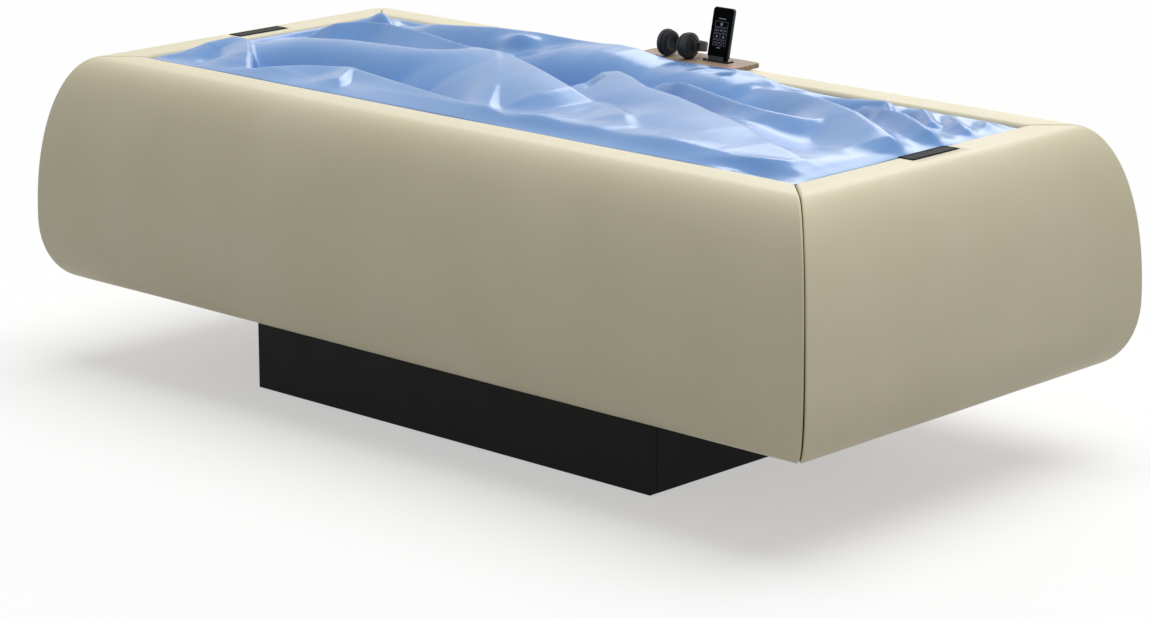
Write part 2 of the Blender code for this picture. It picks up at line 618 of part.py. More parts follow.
def make_plinth():
    x, y = PLINTH_LENGTH / 2, PLINTH_WIDTH / 2
    low, high = PLINTH_FLOOR_GAP, BASE_TOP
    inner_y = y - PLINTH_BOARD - CLEAR
    boards = {"plinth_front": ((-x, -y, low), (x, -y + PLINTH_BOARD, high)),
              "plinth_rear": ((-x, y - PLINTH_BOARD, low), (x, y, high)),
              "plinth_head": ((-x, -inner_y, low), (-x + PLINTH_BOARD, inner_y, high)),
              "plinth_foot": ((x - PLINTH_BOARD, -inner_y, low), (x, inner_y, high))}
    made = {name: box_piece(name, BLACK_BOARD, *corners, PLINTH_EDGE)
            for name, corners in boards.items()}
    hole_radius = GLAND_STEM_RADIUS + HOLE_PLAY
    bore = [(0, -GLAND_BODY), (hole_radius, -GLAND_BODY),
            (hole_radius, PLINTH_BOARD + GLAND_BODY), (0, PLINTH_BOARD + GLAND_BODY)]
    hole = turned_piece("gland_hole", STEEL, (-x, 0, GLAND_HEIGHT), bore, 20, "X")
    combine(made["plinth_head"], hole, "DIFFERENCE")
    dome = [(0, -GLAND_BODY), (GLAND_RADIUS * 0.55, -GLAND_BODY),
            (GLAND_RADIUS * 0.8, -GLAND_BODY * 0.75), (GLAND_RADIUS * 0.8, -GLAND_BODY * 0.4),
            (GLAND_RADIUS, -GLAND_BODY * 0.35), (GLAND_RADIUS, -CLEAR), (GLAND_STEM_RADIUS, -CLEAR),
            (GLAND_STEM_RADIUS, PLINTH_BOARD), (0, PLINTH_BOARD)]
    turned_piece("mains_gland", BLACK_PLASTIC, (-x, 0, GLAND_HEIGHT), dome, 18, "X")


def make_base_frame():
    """A welded frame: a top ring with cross rails, four legs, and a lower rail along each side."""
    half = BASE_TUBE / 2
    rail_low = BASE_TOP - BASE_TUBE
    lower_top = FOOT_HEIGHT + LOWER_RAIL_HEIGHT
    weld = half / 2
    bm = bmesh.new()
    add_ring(bm, LEG_X, LEG_Y, rectangle(-half, half, rail_low, BASE_TOP))
    frame = finish_piece(bm, "base_frame", STEEL)
    bm = bmesh.new()
    for k in range(BASE_CROSS_RAILS):
        x = LEG_X * (2 * (k + 1) / (BASE_CROSS_RAILS + 1) - 1)
        add_box(bm, (x - half, -LEG_Y + weld, rail_low), (x + half, LEG_Y - weld, BASE_TOP))
    for x in (-LEG_X, LEG_X):
        for y in (-LEG_Y, LEG_Y):
            add_box(bm, (x - half, y - half, FOOT_HEIGHT), (x + half, y + half, rail_low + weld))
    combine(frame, finish_piece(bm, "base_legs", STEEL), "UNION")
    bm = bmesh.new()
    for y in (-LEG_Y, LEG_Y):
        add_box(bm, (-LEG_X + weld, y - half, FOOT_HEIGHT), (LEG_X - weld, y + half, lower_top))
    combine(frame, finish_piece(bm, "base_lower_rails", STEEL), "UNION")
    profile = [(0, 0), (FOOT_PAD_RADIUS, 0), (FOOT_PAD_RADIUS, FOOT_PAD_HEIGHT * 0.6),
               (FOOT_PAD_RADIUS * 0.6, FOOT_PAD_HEIGHT), (FOOT_STEM_RADIUS, FOOT_PAD_HEIGHT),
               (FOOT_STEM_RADIUS, FOOT_HEIGHT - CLEAR), (0, FOOT_HEIGHT - CLEAR)]
    for end, x in (("head", -LEG_X), ("foot", LEG_X)):
        for side, y in (("front", -LEG_Y), ("rear", LEG_Y)):
            turned_piece(f"leveller_{end}_{side}", RUBBER, (x, y, 0), profile, 16)


def floor_holes(name, low, high, play):
    """Cutters for the pipes, ports and probe that pass the layers under the tank."""
    places = [(DRAIN_X, DRAIN_Y, DRAIN_RADIUS), (PROBE_X, PROBE_Y, PROBE_RADIUS),
              (-BELLOWS_X, 0, PORT_RADIUS), (BELLOWS_X, 0, PORT_RADIUS)]
    return [hole_cutter(f"{name}_hole_{k}", x, y, radius + play, low, high)
            for k, (x, y, radius) in enumerate(places)]


def pierce(piece, low, high, play=HOLE_PLAY):
    margin = 0.01
    for tool in floor_holes(piece.name, low - margin, high + margin, play):
        combine(piece, tool, "DIFFERENCE")


def make_tub():
    edge = SHELL_REACH - SHELL_TUCK - CLEAR
    deck = box_piece("deck_board", PLYWOOD, (-HALF_LENGTH - edge, -HALF_WIDTH - edge, SHELL_BOTTOM),
                     (HALF_LENGTH + edge, HALF_WIDTH + edge, DECK_TOP))
    pierce(deck, SHELL_BOTTOM, DECK_TOP)
    low = DECK_TOP + CLEAR
    lining_outer = FRAME_SETBACK - CLEAR
    lining_inner = lining_outer - SIDE_INSULATION
    ring_piece("side_insulation", FOAM,
               rectangle(lining_inner, lining_outer, BEARER_TOP + CLEAR, FRAME_TOP))
    inner_x = HALF_LENGTH + lining_inner - CLEAR
    inner_y = HALF_WIDTH + lining_inner - CLEAR
    floor = box_piece("floor_insulation", FOAM, (-inner_x, -inner_y, BEARER_TOP + CLEAR),
                      (inner_x, inner_y, INSULATION_TOP))
    pierce(floor, BEARER_TOP, INSULATION_TOP)
    mat = box_piece("heating_mat", HEATER, (-MAT_LENGTH / 2, -MAT_WIDTH / 2, INSULATION_TOP + CLEAR),
                    (MAT_LENGTH / 2, MAT_WIDTH / 2, MAT_TOP))
    pierce(mat, INSULATION_TOP, MAT_TOP)
    make_tub_frame(low)
    make_tank()


def make_tub_frame(low):
    """A welded frame: a ring on the deck, a ring under the tank's flange, posts and floor bearers."""
    weld = FRAME_TUBE / 2
    upper = FRAME_TOP - FRAME_TUBE
    frame = ring_piece("tub_frame", STEEL,
                       rectangle(FRAME_SETBACK, FRAME_OUTER, low, low + FRAME_TUBE))
    bm = bmesh.new()
    for side in SIDES:
        count = SIDE_POSTS if side in ("front", "rear") else END_POSTS
        reach = half_side(side) - FRAME_TUBE
        for k in range(count):
            along = reach * (2 * k / (count - 1) - 1)
            near = side_point(side, along - weld, FRAME_SETBACK, low + weld)
            far = side_point(side, along + weld, FRAME_OUTER, upper + weld)
            pairs = list(zip(near, far))
            add_box(bm, [min(pair) for pair in pairs], [max(pair) for pair in pairs])
    combine(frame, finish_piece(bm, "tub_posts", STEEL), "UNION")
    top_ring = ring_piece("tub_top_ring", STEEL, rectangle(FRAME_SETBACK, FRAME_OUTER, upper, FRAME_TOP))
    combine(frame, top_ring, "UNION")
    bm = bmesh.new()
    reach = HALF_WIDTH + FRAME_SETBACK + weld
    for k in range(BEARERS):
        x = BEARER_PITCH * (k - (BEARERS - 1) / 2)
        add_box(bm, (x - BEARER_WIDTH / 2, -reach, low), (x + BEARER_WIDTH / 2, reach, BEARER_TOP))
    combine(frame, finish_piece(bm, "tub_bearers", STEEL), "UNION")


def make_tank():
    out_x, out_y = TANK_IN_X + TANK_WALL, TANK_IN_Y + TANK_WALL
    outer_corner = TANK_CORNER + TANK_WALL
    brim_x, brim_y = out_x + FLANGE_WIDTH, out_y + FLANGE_WIDTH
    loops = [rounded_rectangle(out_x, out_y, outer_corner, TANK_BOTTOM),
             rounded_rectangle(out_x, out_y, outer_corner, FLANGE_TOP - FLANGE_THICKNESS),
             rounded_rectangle(brim_x, brim_y, outer_corner, FLANGE_TOP - FLANGE_THICKNESS),
             rounded_rectangle(brim_x, brim_y, outer_corner, FLANGE_TOP),
             rounded_rectangle(TANK_IN_X, TANK_IN_Y, TANK_CORNER, FLANGE_TOP),
             rounded_rectangle(TANK_IN_X, TANK_IN_Y, TANK_CORNER, TANK_FLOOR)]
    bm = bmesh.new()
    add_loft(bm, loops)
    tank = finish_piece(bm, "tank", POLYPROPYLENE)
    combine(tank, guide_ribs(), "UNION")
    pierce(tank, TANK_BOTTOM, TANK_FLOOR)


def make_fittings():
    top = TANK_FLOOR + CLEAR
    valve_top = PORT_BOTTOM
    drain = [(0, top + FITTING_FLANGE), (DRAIN_FLANGE_RADIUS * 0.9, top + FITTING_FLANGE),
             (DRAIN_FLANGE_RADIUS, top), (DRAIN_RADIUS, top), (DRAIN_RADIUS, valve_top + CLEAR),
             (0, valve_top + CLEAR)]
    turned_piece("drain_fitting", STAINLESS, (DRAIN_X, DRAIN_Y, 0), drain)
    make_drain_valve(valve_top)
    probe = [(0, top + FITTING_FLANGE * 3), (PROBE_RADIUS * 0.7, top + FITTING_FLANGE * 3),
             (PROBE_RADIUS * 0.7, top + FITTING_FLANGE), (PROBE_FLANGE_RADIUS, top + FITTING_FLANGE),
             (PROBE_FLANGE_RADIUS, top), (PROBE_RADIUS, top), (PROBE_RADIUS, DECK_TOP + CLEAR),
             (0, DECK_TOP + CLEAR)]
    turned_piece("temperature_probe", STAINLESS, (PROBE_X, PROBE_Y, 0), probe)
    port = [(0, top + FITTING_FLANGE), (PORT_FLANGE_RADIUS, top + FITTING_FLANGE),
            (PORT_FLANGE_RADIUS, top), (PORT_RADIUS, top), (PORT_RADIUS, PORT_BOTTOM),
            (0, PORT_BOTTOM)]
    turned_piece("air_port_head", STAINLESS, (-BELLOWS_X, 0, 0), port, 20)
    turned_piece("air_port_foot", STAINLESS, (BELLOWS_X, 0, 0), port, 20)


def make_drain_valve(top):
    low = top - VALVE_LENGTH
    middle = (top + low) / 2
    collar = VALVE_RADIUS * 0.9
    outlet = DRAIN_RADIUS * 0.8
    shoulder = VALVE_COLLAR + VALVE_TAPER
    body = [(0, top), (collar, top), (collar, top - VALVE_COLLAR), (VALVE_RADIUS, top - shoulder),
            (VALVE_RADIUS, low + shoulder), (collar, low + VALVE_COLLAR), (collar, low),
            (outlet, low), (outlet, low - VALVE_OUTLET), (0, low - VALVE_OUTLET)]
    valve = turned_piece("drain_valve", BRASS, (DRAIN_X, DRAIN_Y, 0), body)
    boss_end = VALVE_RADIUS + VALVE_BOSS
    boss = [(0, 0), (VALVE_BOSS_RADIUS, 0), (VALVE_BOSS_RADIUS, -boss_end), (0, -boss_end)]
    combine(valve, turned_piece("valve_boss", BRASS, (DRAIN_X, DRAIN_Y, middle), boss, 16, "Y"), "UNION")
    near = DRAIN_Y - boss_end - CLEAR
    bm = bmesh.new()
    outline = []
    for end, radius, first in ((0.0, LEVER_HUB_RADIUS, 90), (LEVER_LENGTH, LEVER_TIP_RADIUS, -90)):
        for k in range(7):
            angle = math.radians(first + 30 * k)
            outline.append((end + radius * math.cos(angle), radius * math.sin(angle)))
    add_loft(bm, [[(DRAIN_X + u, near - d, middle + v) for u, v in outline]
                  for d in (0, LEVER_THICKNESS)])
    finish_piece(bm, "drain_lever", STEEL, (DRAIN_X, near, middle))


def make_lift():
    """The platform: a slatted panel on two beams, whose notched ends run on the tank's ribs."""
    slat_half = TANK_IN_X - SLAT_END_GAP
    slat_low = LIFT_TOP - SLAT_THICKNESS
    bm = bmesh.new()
    for x in (-BATTEN_X, 0, BATTEN_X):
        add_box(bm, (x - BATTEN_WIDTH / 2, -BEAM_HALF, slat_low - BATTEN_HEIGHT),
                (x + BATTEN_WIDTH / 2, BEAM_HALF, LIFT_TOP - SLAT_THICKNESS / 2))
    panel = finish_piece(bm, "lift_panel", WHITE_PLASTIC, (0, 0, LIFT_TOP))
    bm = bmesh.new()
    for k in range(SLAT_COUNT):
        y = (k - (SLAT_COUNT - 1) / 2) * (SLAT_WIDTH + SLAT_GAP)
        add_loft(bm, [shift(rounded_rectangle(slat_half, SLAT_WIDTH / 2, SLAT_CORNER, z, 1), 0, y)
                      for z in (slat_low, LIFT_TOP)])
    combine(panel, finish_piece(bm, "lift_slats", WHITE_PLASTIC), "UNION")
    height = BEAM_BOTTOM - TANK_FLOOR - 2 * CLEAR
    for end, x in (("head", -BELLOWS_X), ("foot", BELLOWS_X)):
        make_lift_beam("lift_beam_" + end, x)
        make_bellows("bellows_" + end, x, height)


def make_lift_beam(name, x):
    wide, shoe, slot = BELLOWS_BEAM_WIDTH / 2, SHOE_WIDTH / 2, RAIL_WIDTH / 2 + SHOE_PLAY
    face = RAIL_FACE - SHOE_PLAY
    tip = RAIL_FACE + RAIL_DEPTH - SHOE_PLAY
    end = [(wide, BEAM_HALF), (shoe, BEAM_HALF), (shoe, tip), (slot, tip), (slot, face)]
    end += [(-u, v) for u, v in reversed(end)]
    outline = end + [(-u, -v) for u, v in end]
    bm = bmesh.new()
    add_loft(bm, [[(x + u, v, z) for u, v in outline] for z in (BEAM_BOTTOM, BEAM_TOP)])
    finish_piece(bm, name, STAINLESS, (0, 0, LIFT_TOP))


def guide_ribs():
    """Upright ribs on the tank's long walls, which keep the platform level."""
    bm = bmesh.new()
    for x in (-BELLOWS_X, BELLOWS_X):
        for side in (-1, 1):
            ends = sorted((side * RAIL_FACE, side * (TANK_IN_Y + TANK_WALL / 2)))
            add_box(bm, (x - RAIL_WIDTH / 2, ends[0], TANK_FLOOR + RAIL_FLOOR_GAP),
                    (x + RAIL_WIDTH / 2, ends[1], LIFT_TOP))
    return finish_piece(bm, "guide_ribs", POLYPROPYLENE)


def make_bellows(name, x, height):
    """An air bellows: a stack of folds between two end plates, hollow over its port."""
    low = TANK_FLOOR + CLEAR
    rim = BELLOWS_RADIUS - BELLOWS_DEPTH
    plate = FITTING_FLANGE * 2
    profile = [(0, low + height), (rim, low + height), (rim, low + height - plate)]
    pitch = (height - 2 * plate) / BELLOWS_FOLDS
    for k in range(BELLOWS_FOLDS):
        crown = low + height - plate - pitch * (k + 0.5)
        profile += [(BELLOWS_RADIUS, crown + 0.22 * pitch), (BELLOWS_RADIUS, crown - 0.22 * pitch),
                    (rim, crown - 0.5 * pitch)]
    well = PORT_FLANGE_RADIUS + CLEAR
    roof = low + FITTING_FLANGE + CLEAR
    profile += [(rim, low), (well, low), (well, roof), (0, roof)]
    turned_piece(name, RUBBER, (x, 0, 0), profile, 20)


def make_services():
    half = BASE_TUBE / 2
    box_piece("service_shelf", STEEL, (half + SHELF_LEG_GAP, -LEG_Y - half, SHELF_BOTTOM),
              (LEG_X - half - SHELF_LEG_GAP, LEG_Y + half, SHELF_TOP))
    low = SHELF_TOP + CLEAR
    half_head = PUMP_HEAD_SIZE / 2
    motor_end = PUMP_MOTOR_LENGTH + PUMP_JOIN
    motor = [(0, 0), (PUMP_MOTOR_RADIUS - PUMP_MOTOR_CHAMFER, 0), (PUMP_MOTOR_RADIUS, PUMP_MOTOR_CHAMFER),
             (PUMP_MOTOR_RADIUS, motor_end), (0, motor_end)]
    head_x = PUMP_X + PUMP_MOTOR_LENGTH / 2
    pump = box_piece("air_pump", GREY_PLASTIC, (head_x, PUMP_Y - half_head, low),
                     (head_x + PUMP_HEAD_LENGTH, PUMP_Y + half_head, low + PUMP_HEAD_SIZE), PUMP_HEAD_EDGE)
    start = head_x - PUMP_MOTOR_LENGTH
    combine(pump, turned_piece("pump_motor", STEEL, (start, PUMP_Y, PUMP_AXIS), motor, 24, "X"), "UNION")
    foot_half = PUMP_MOTOR_RADIUS * 0.7
    combine(pump, box_piece("pump_foot", STEEL, (start + PUMP_FOOT_SETBACK, PUMP_Y - foot_half, low),
                            (head_x + PUMP_JOIN, PUMP_Y + foot_half, PUMP_AXIS)), "UNION")
    face = PUMP_Y + half_head
    barb = [(0, -PUMP_JOIN), (HOSE_RADIUS, -PUMP_JOIN), (HOSE_RADIUS, PUMP_BARB_LENGTH),
            (0, PUMP_BARB_LENGTH)]
    middle = head_x + PUMP_HEAD_LENGTH / 2
    starts = []
    for name, offset in (("head_barb", -PUMP_BARB_PITCH / 2), ("foot_barb", PUMP_BARB_PITCH / 2)):
        combine(pump, turned_piece(name, STEEL, (middle + offset, face, PUMP_AXIS), barb, 12, "Y"), "UNION")
        starts.append((middle + offset, face + PUMP_BARB_LENGTH + CLEAR, PUMP_AXIS))
    make_hose("air_hose_head", starts[0], HEAD_HOSE_ROUTE, -BELLOWS_X)
    make_hose("air_hose_foot", starts[1], FOOT_HOSE_ROUTE, BELLOWS_X)
    make_control_box(low)


def make_control_box(low):
    """A closed box with an overhanging lid."""
    lid = low + CONTROL_HEIGHT
    rows = ((low, 0), (lid, 0), (lid, CONTROL_LID_OVERHANG), (lid + CONTROL_LID, CONTROL_LID_OVERHANG))
    bm = bmesh.new()
    add_loft(bm, [shift(rounded_rectangle(CONTROL_LENGTH / 2 + over, CONTROL_WIDTH / 2 + over,
                                          CONTROL_CORNER, z, 3), CONTROL_X, CONTROL_Y)
                  for z, over in rows])
    finish_piece(bm, "control_box", GREY_PLASTIC)


def make_hose(name, start, route, port_x):
    """An air hose from a pump barb, straight out for a little, to straight below its port."""
    lead = 4 * HOSE_RADIUS
    end = (port_x, 0, PORT_BOTTOM - CLEAR)
    knots = [start, (start[0], start[1] + lead, start[2])] + route
    knots += [(end[0], end[1], end[2] - lead), end]
    points = smooth_points([Vector(knot) for knot in knots], 5 * HOSE_RADIUS)
    curve = bpy.data.curves.new(name, "CURVE")
    curve.dimensions = "3D"
    curve.bevel_depth = HOSE_RADIUS
    curve.bevel_resolution = 2
    curve.use_fill_caps = True
    spline = curve.splines.new("POLY")
    spline.points.add(len(points) - 1)
    for slot, point in zip(spline.points, points):
        slot.co = (*point, 1.0)
    piece = bpy.data.objects.new(name, curve)
    bpy.context.scene.collection.objects.link(piece)
    set_finish(curve, RUBBER)


def smooth_points(knots, spacing):
    """Points along a Catmull-Rom curve through the knots, about a spacing apart."""
    ends = [knots[0] * 2 - knots[1]] + knots + [knots[-1] * 2 - knots[-2]]
    points = [knots[0]]
    for a, b, c, d in zip(ends, ends[1:], ends[2:], ends[3:]):
        steps = max(1, round((c - b).length / spacing))
        for k in range(1, steps + 1):
            t = k / steps
            points.append(0.5 * (2 * b + (c - a) * t + (2 * a - 5 * b + 4 * c - d) * t ** 2
                                 + (3 * b - a - 3 * c + d) * t ** 3))
    return points


def fold_height(x, y):
    """The membrane's height over the rim: swelling fold fronts, drawn-in backs, and slack valleys."""
    depth = min(HALF_LENGTH - abs(x), HALF_WIDTH - abs(y)) / SLACK_SPREAD
    depth = min(max(depth, 0.0), 1.0)
    slack = -EDGE_SLACK - (DEEP_SLACK - EDGE_SLACK) * depth * depth * (3 - 2 * depth)
    total = 1.0
    for front, full, back, crest in FOLDS:
        away, side, height = min((crest_offset(x, y, a, b) for a, b in zip(crest, crest[1:])),
                                 key=lambda hit: hit[0])
        behind = (1 + side) / 2
        width = front + (back - front) * behind
        fullness = full + (BACK_FULLNESS - full) * behind
        rise = (1 - (away / width) ** fullness) * max(height - slack, 0.0)
        total += math.exp(rise / FOLD_MERGE)
    return slack + FOLD_MERGE * math.log(total)


def crest_offset(x, y, start, end):
    """The distance to a stretch of a crest, its left (1) or right (-1) side, and its height there."""
    run = Vector((end[0] - start[0], end[1] - start[1]))
    offset = Vector((x - start[0], y - start[1]))
    share = min(max(offset.dot(run) / run.length_squared, 0.0), 1.0)
    away = (offset - run * share).length
    left = run.cross(offset) / run.length
    side = min(max(left / max(away, CLEAR), -1.0), 1.0)
    return away, side, start[2] + (end[2] - start[2]) * share


def membrane_point(x, y):
    inside = min(HALF_LENGTH - abs(x), HALF_WIDTH - abs(y)) - CLEAR * 10
    lift = min(max(inside / EDGE_RISE, 0.0), 1.0)
    lift = math.sqrt(lift * (2 - lift))
    return HEM_TOP + (RIM_HEIGHT + fold_height(x, y) - HEM_TOP) * lift


def grid_lines(half, cells):
    """Grid places across the sheet: close rows at its hem, even rows between."""
    hem = half + STRIP_SETBACK + STRIP_WIDTH
    edge = half - CLEAR * 10
    turn = edge - EDGE_RISE * 0.3
    even = [turn * (2 * k / cells - 1) for k in range(cells + 1)]
    return [-hem, -edge] + even + [edge, hem]


def make_membrane():
    xs = grid_lines(HALF_LENGTH, MEMBRANE_CELLS[0])
    ys = grid_lines(HALF_WIDTH, MEMBRANE_CELLS[1])
    bm = bmesh.new()
    top = [[bm.verts.new((x, y, membrane_point(x, y))) for y in ys] for x in xs]
    for i in range(len(xs) - 1):
        for j in range(len(ys) - 1):
            bm.faces.new((top[i][j], top[i + 1][j], top[i + 1][j + 1], top[i][j + 1]))
    inner = [vert for row in top[3:-3] for vert in row[3:-3]]
    bmesh.ops.smooth_vert(bm, verts=inner, factor=CREST_ROUNDING, use_axis_z=True)
    bm.normal_update()
    under = bmesh.ops.duplicate(bm, geom=bm.verts[:] + bm.edges[:] + bm.faces[:])
    lower = [item for item in under["geom"] if isinstance(item, bmesh.types.BMVert)]
    for vert in lower:
        edge_hem = abs(vert.co.x) > HALF_LENGTH - EDGE_RISE or abs(vert.co.y) > HALF_WIDTH - EDGE_RISE
        vert.co.z -= HEM_THICKNESS if edge_hem else MEMBRANE_THICKNESS
    rims = [edge for edge in bm.edges if edge.is_boundary]
    bmesh.ops.bridge_loops(bm, edges=rims)
    finish_piece(bm, "membrane", FILM)


def make_clamp_frame():
    ring_piece("clamp_frame", ALUMINIUM,
               rectangle(STRIP_SETBACK, STRIP_SETBACK + STRIP_WIDTH, HEM_TOP + CLEAR, STRIP_TOP))


def peg_profile(play):
    top = TRAY_BOTTOM + PEG_IN_TRAY + play
    low = RIM_BOARD_TOP - BRACKET_PLATE / 2
    radius = PEG_RADIUS + play
    return [(0, low), (radius, low), (radius, top), (0, top)]


def peg_place(k):
    return (TRAY_X + k * PEG_SPACING / 2, HALF_WIDTH + BRACKET_SETBACK, 0)


def peg_hole(k):
    return turned_piece(f"peg_hole_{k + 1}", STEEL, peg_place(k), peg_profile(HOLE_PLAY), 16)


def bracket_box(name, play):
    x, y, _ = peg_place(0)
    top = RIM_BOARD_TOP
    half_x, half_y = BRACKET_LENGTH / 2 + play, BRACKET_WIDTH / 2 + play
    return box_piece(name, STAINLESS, (x - half_x, y - half_y, top - BRACKET_PLATE - play),
                     (x + half_x, y + half_y, top + play))


def bracket_recess():
    return bracket_box("bracket_recess", CLEAR)


def make_tray():
    rows = ((TRAY_BOTTOM, TRAY_EDGE), (TRAY_BOTTOM + TRAY_EDGE, 0),
            (TRAY_TOP - TRAY_EDGE, 0), (TRAY_TOP, TRAY_EDGE))
    loops = []
    for z, set_in in rows:
        loops.append(shift(rounded_rectangle(TRAY_LENGTH / 2 - set_in, TRAY_DEPTH / 2 - set_in,
                                             TRAY_CORNER, z), TRAY_X, TRAY_Y))
    bm = bmesh.new()
    add_loft(bm, loops)
    tray = finish_piece(bm, "tray_board", TRAY_WOOD)
    bracket = bracket_box("tray_bracket", 0.0)
    for k in (-1, 1):
        combine(tray, bpy.data.objects[f"peg_hole_{k + 1}"], "DIFFERENCE")
        peg = turned_piece(f"bracket_peg_{k + 1}", STAINLESS, peg_place(k), peg_profile(0.0), 16)
        combine(bracket, peg, "UNION")


def lean_point(across, forward, up):
    """A point in the player's leaning frame: forward of its middle plane, and up from its foot."""
    y = PLAYER_Y - forward * math.cos(PLAYER_LEAN) + up * math.sin(PLAYER_LEAN)
    z = player_foot() + forward * math.sin(PLAYER_LEAN) + up * math.cos(PLAYER_LEAN)
    return (PLAYER_X + across, y, z)


def player_foot():
    return TRAY_TOP + DOCK_PLATE + CLEAR + PLAYER_THICKNESS * math.sin(PLAYER_LEAN)


def make_player():
    half = PLAYER_THICKNESS / 2
    foot = (PLAYER_X, PLAYER_Y, player_foot())
    bm = bmesh.new()
    rows = ((-half, PLAYER_EDGE), (-half + PLAYER_EDGE, 0), (half - PLAYER_EDGE, 0), (half, PLAYER_EDGE))
    add_loft(bm, [player_loop(set_in, forward) for forward, set_in in rows])
    finish_piece(bm, "player_case", BLACK_PLASTIC, foot)
    bm = bmesh.new()
    face = half + CLEAR
    rows = ((face, PLAYER_GLASS_INSET), (face + PLAYER_GLASS * 0.6, PLAYER_GLASS_INSET),
            (face + PLAYER_GLASS, PLAYER_GLASS_INSET * 1.6))
    add_loft(bm, [player_loop(set_in, forward) for forward, set_in in rows])
    finish_piece(bm, "player_glass", DARK_GLASS, foot)
    make_dock(half)


def player_loop(set_in, forward):
    outline = rounded_rectangle(PLAYER_WIDTH / 2 - set_in, PLAYER_HEIGHT / 2 - set_in, PLAYER_CORNER, 0)
    return [lean_point(u, forward, v + PLAYER_HEIGHT / 2) for u, v, _ in outline]


def make_dock(half):
    low = TRAY_TOP + CLEAR
    bm = bmesh.new()
    outline = rounded_rectangle(DOCK_WIDTH / 2, DOCK_DEPTH / 2, DOCK_CORNER, 0)
    add_loft(bm, [[(PLAYER_X + u, PLAYER_Y + v, z) for u, v, _ in outline] for z in (low, low + DOCK_PLATE)])
    dock = finish_piece(bm, "player_dock", BLACK_PLASTIC)
    front = half + CLEAR + PLAYER_GLASS + CLEAR
    back = -half - CLEAR
    walls = (("cradle_front", front, front + CRADLE_WALL, CRADLE_FRONT),
             ("cradle_back", back - CRADLE_WALL, back, CRADLE_BACK))
    for name, start, end, height in walls:
        bm = bmesh.new()
        sink = low + DOCK_PLATE / 2
        section = [lean_point(0, start, height), lean_point(0, end, height),
                   drop_to(end, sink), drop_to(start, sink)]
        add_loft(bm, [[(PLAYER_X + d * CRADLE_WIDTH / 2, y, z) for _, y, z in section] for d in (-1, 1)])
        combine(dock, finish_piece(bm, name, BLACK_PLASTIC), "UNION")


def drop_to(forward, z):
    """The point at a height on the line that leans with the player at a forward distance."""
    up = (z - lean_point(0, forward, 0)[2]) / math.cos(PLAYER_LEAN)
    return lean_point(0, forward, up)


def make_headphones():
    middle = (PHONES_X, PHONES_Y, PHONES_Z)
    make_band(middle)
    for name, end in (("left", -1), ("right", 1)):
        make_ear(name, end, middle)


def ear_turned(end, middle, profile):
    """A profile of (radius, distance out from the headphones' middle) turned about the ear axis."""
    bm = bmesh.new()
    add_turned(bm, middle, [(r, end * d) for r, d in profile], PHONE_STEPS, "X")
    return bm


def make_ear(name, end, middle):
    pivot = (middle[0] + end * HINGE_X, middle[1], middle[2])
    pad = EAR_GAP / 2
    seat = pad + CUSHION_DEPTH
    cushion = [(0, pad + CUSHION_DISH), (CUSHION_RADIUS * 0.4, pad + CUSHION_DISH * 0.8),
               (CUSHION_RADIUS * 0.7, pad), (CUSHION_RADIUS * 0.92, pad + CUSHION_DEPTH * 0.2),
               (CUSHION_RADIUS, pad + CUSHION_DEPTH * 0.6), (CUSHION_RADIUS * 0.9, seat), (0, seat)]
    finish_piece(ear_turned(end, middle, cushion), name + "_cushion", EAR_FOAM, pivot)
    base = seat + CLEAR
    shell = [(0, base), (CUP_RADIUS * 0.9, base), (CUP_RADIUS, base + CUP_DEPTH * 0.15),
             (CUP_RADIUS, base + CUP_DEPTH * 0.55), (CUP_RADIUS * 0.85, base + CUP_DEPTH * 0.85),
             (CUP_RADIUS * 0.6, base + CUP_DEPTH), (0, base + CUP_DEPTH)]
    cup = finish_piece(ear_turned(end, middle, shell), name + "_cup", BLACK_PLASTIC, pivot)
    half = HINGE_BARREL / 2
    round_barrel = [(0, -half), (HINGE_RADIUS, -half), (HINGE_RADIUS, half), (0, half)]
    combine(cup, turned_piece(name + "_barrel", BLACK_PLASTIC, pivot, round_barrel, 12), "UNION")
    neck_low = Vector(pivot) - Vector((end * 1.8 * HINGE_RADIUS, HINGE_RADIUS * 0.8, half))
    neck_high = Vector(pivot) + Vector((0, HINGE_RADIUS * 0.8, half))
    corners = [sorted(pair) for pair in zip(neck_low, neck_high)]
    combine(cup, box_piece(name + "_neck", BLACK_PLASTIC, [c[0] for c in corners],
                           [c[1] for c in corners]), "UNION")
    make_yoke(name, end, middle, pivot)


def make_yoke(name, end, middle, pivot):
    inner, outer = sorted((middle[0] + end * YOKE_FACE, middle[0] + end * (YOKE_FACE + YOKE_THICKNESS)))
    half = YOKE_HEIGHT / 2
    yoke = box_piece(name + "_yoke", BLACK_PLASTIC, (inner, middle[1] - HINGE_RADIUS, middle[2] - half),
                     (outer, middle[1] + YOKE_LENGTH, middle[2] + half), YOKE_EDGE)
    start = HINGE_BARREL / 2 + CLEAR
    for k, up in enumerate((-1, 1)):
        rows = [(0, up * start), (HINGE_RADIUS, up * start), (HINGE_RADIUS, up * (start + HINGE_LUG)),
                (0, up * (start + HINGE_LUG))]
        bm = bmesh.new()
        add_turned(bm, pivot, rows, 12)
        combine(yoke, finish_piece(bm, f"{name}_lug_{k}", BLACK_PLASTIC), "UNION")
        low, high = sorted(pivot[2] + up * reach for reach in (start, start + HINGE_LUG))
        side = sorted((pivot[0], middle[0] + end * (YOKE_FACE + YOKE_THICKNESS / 2)))
        bridge = box_piece(f"{name}_bridge_{k}", BLACK_PLASTIC,
                           (side[0], pivot[1] - HINGE_RADIUS * 0.8, low),
                           (side[1], pivot[1] + HINGE_RADIUS * 0.8, high))
        combine(yoke, bridge, "UNION")


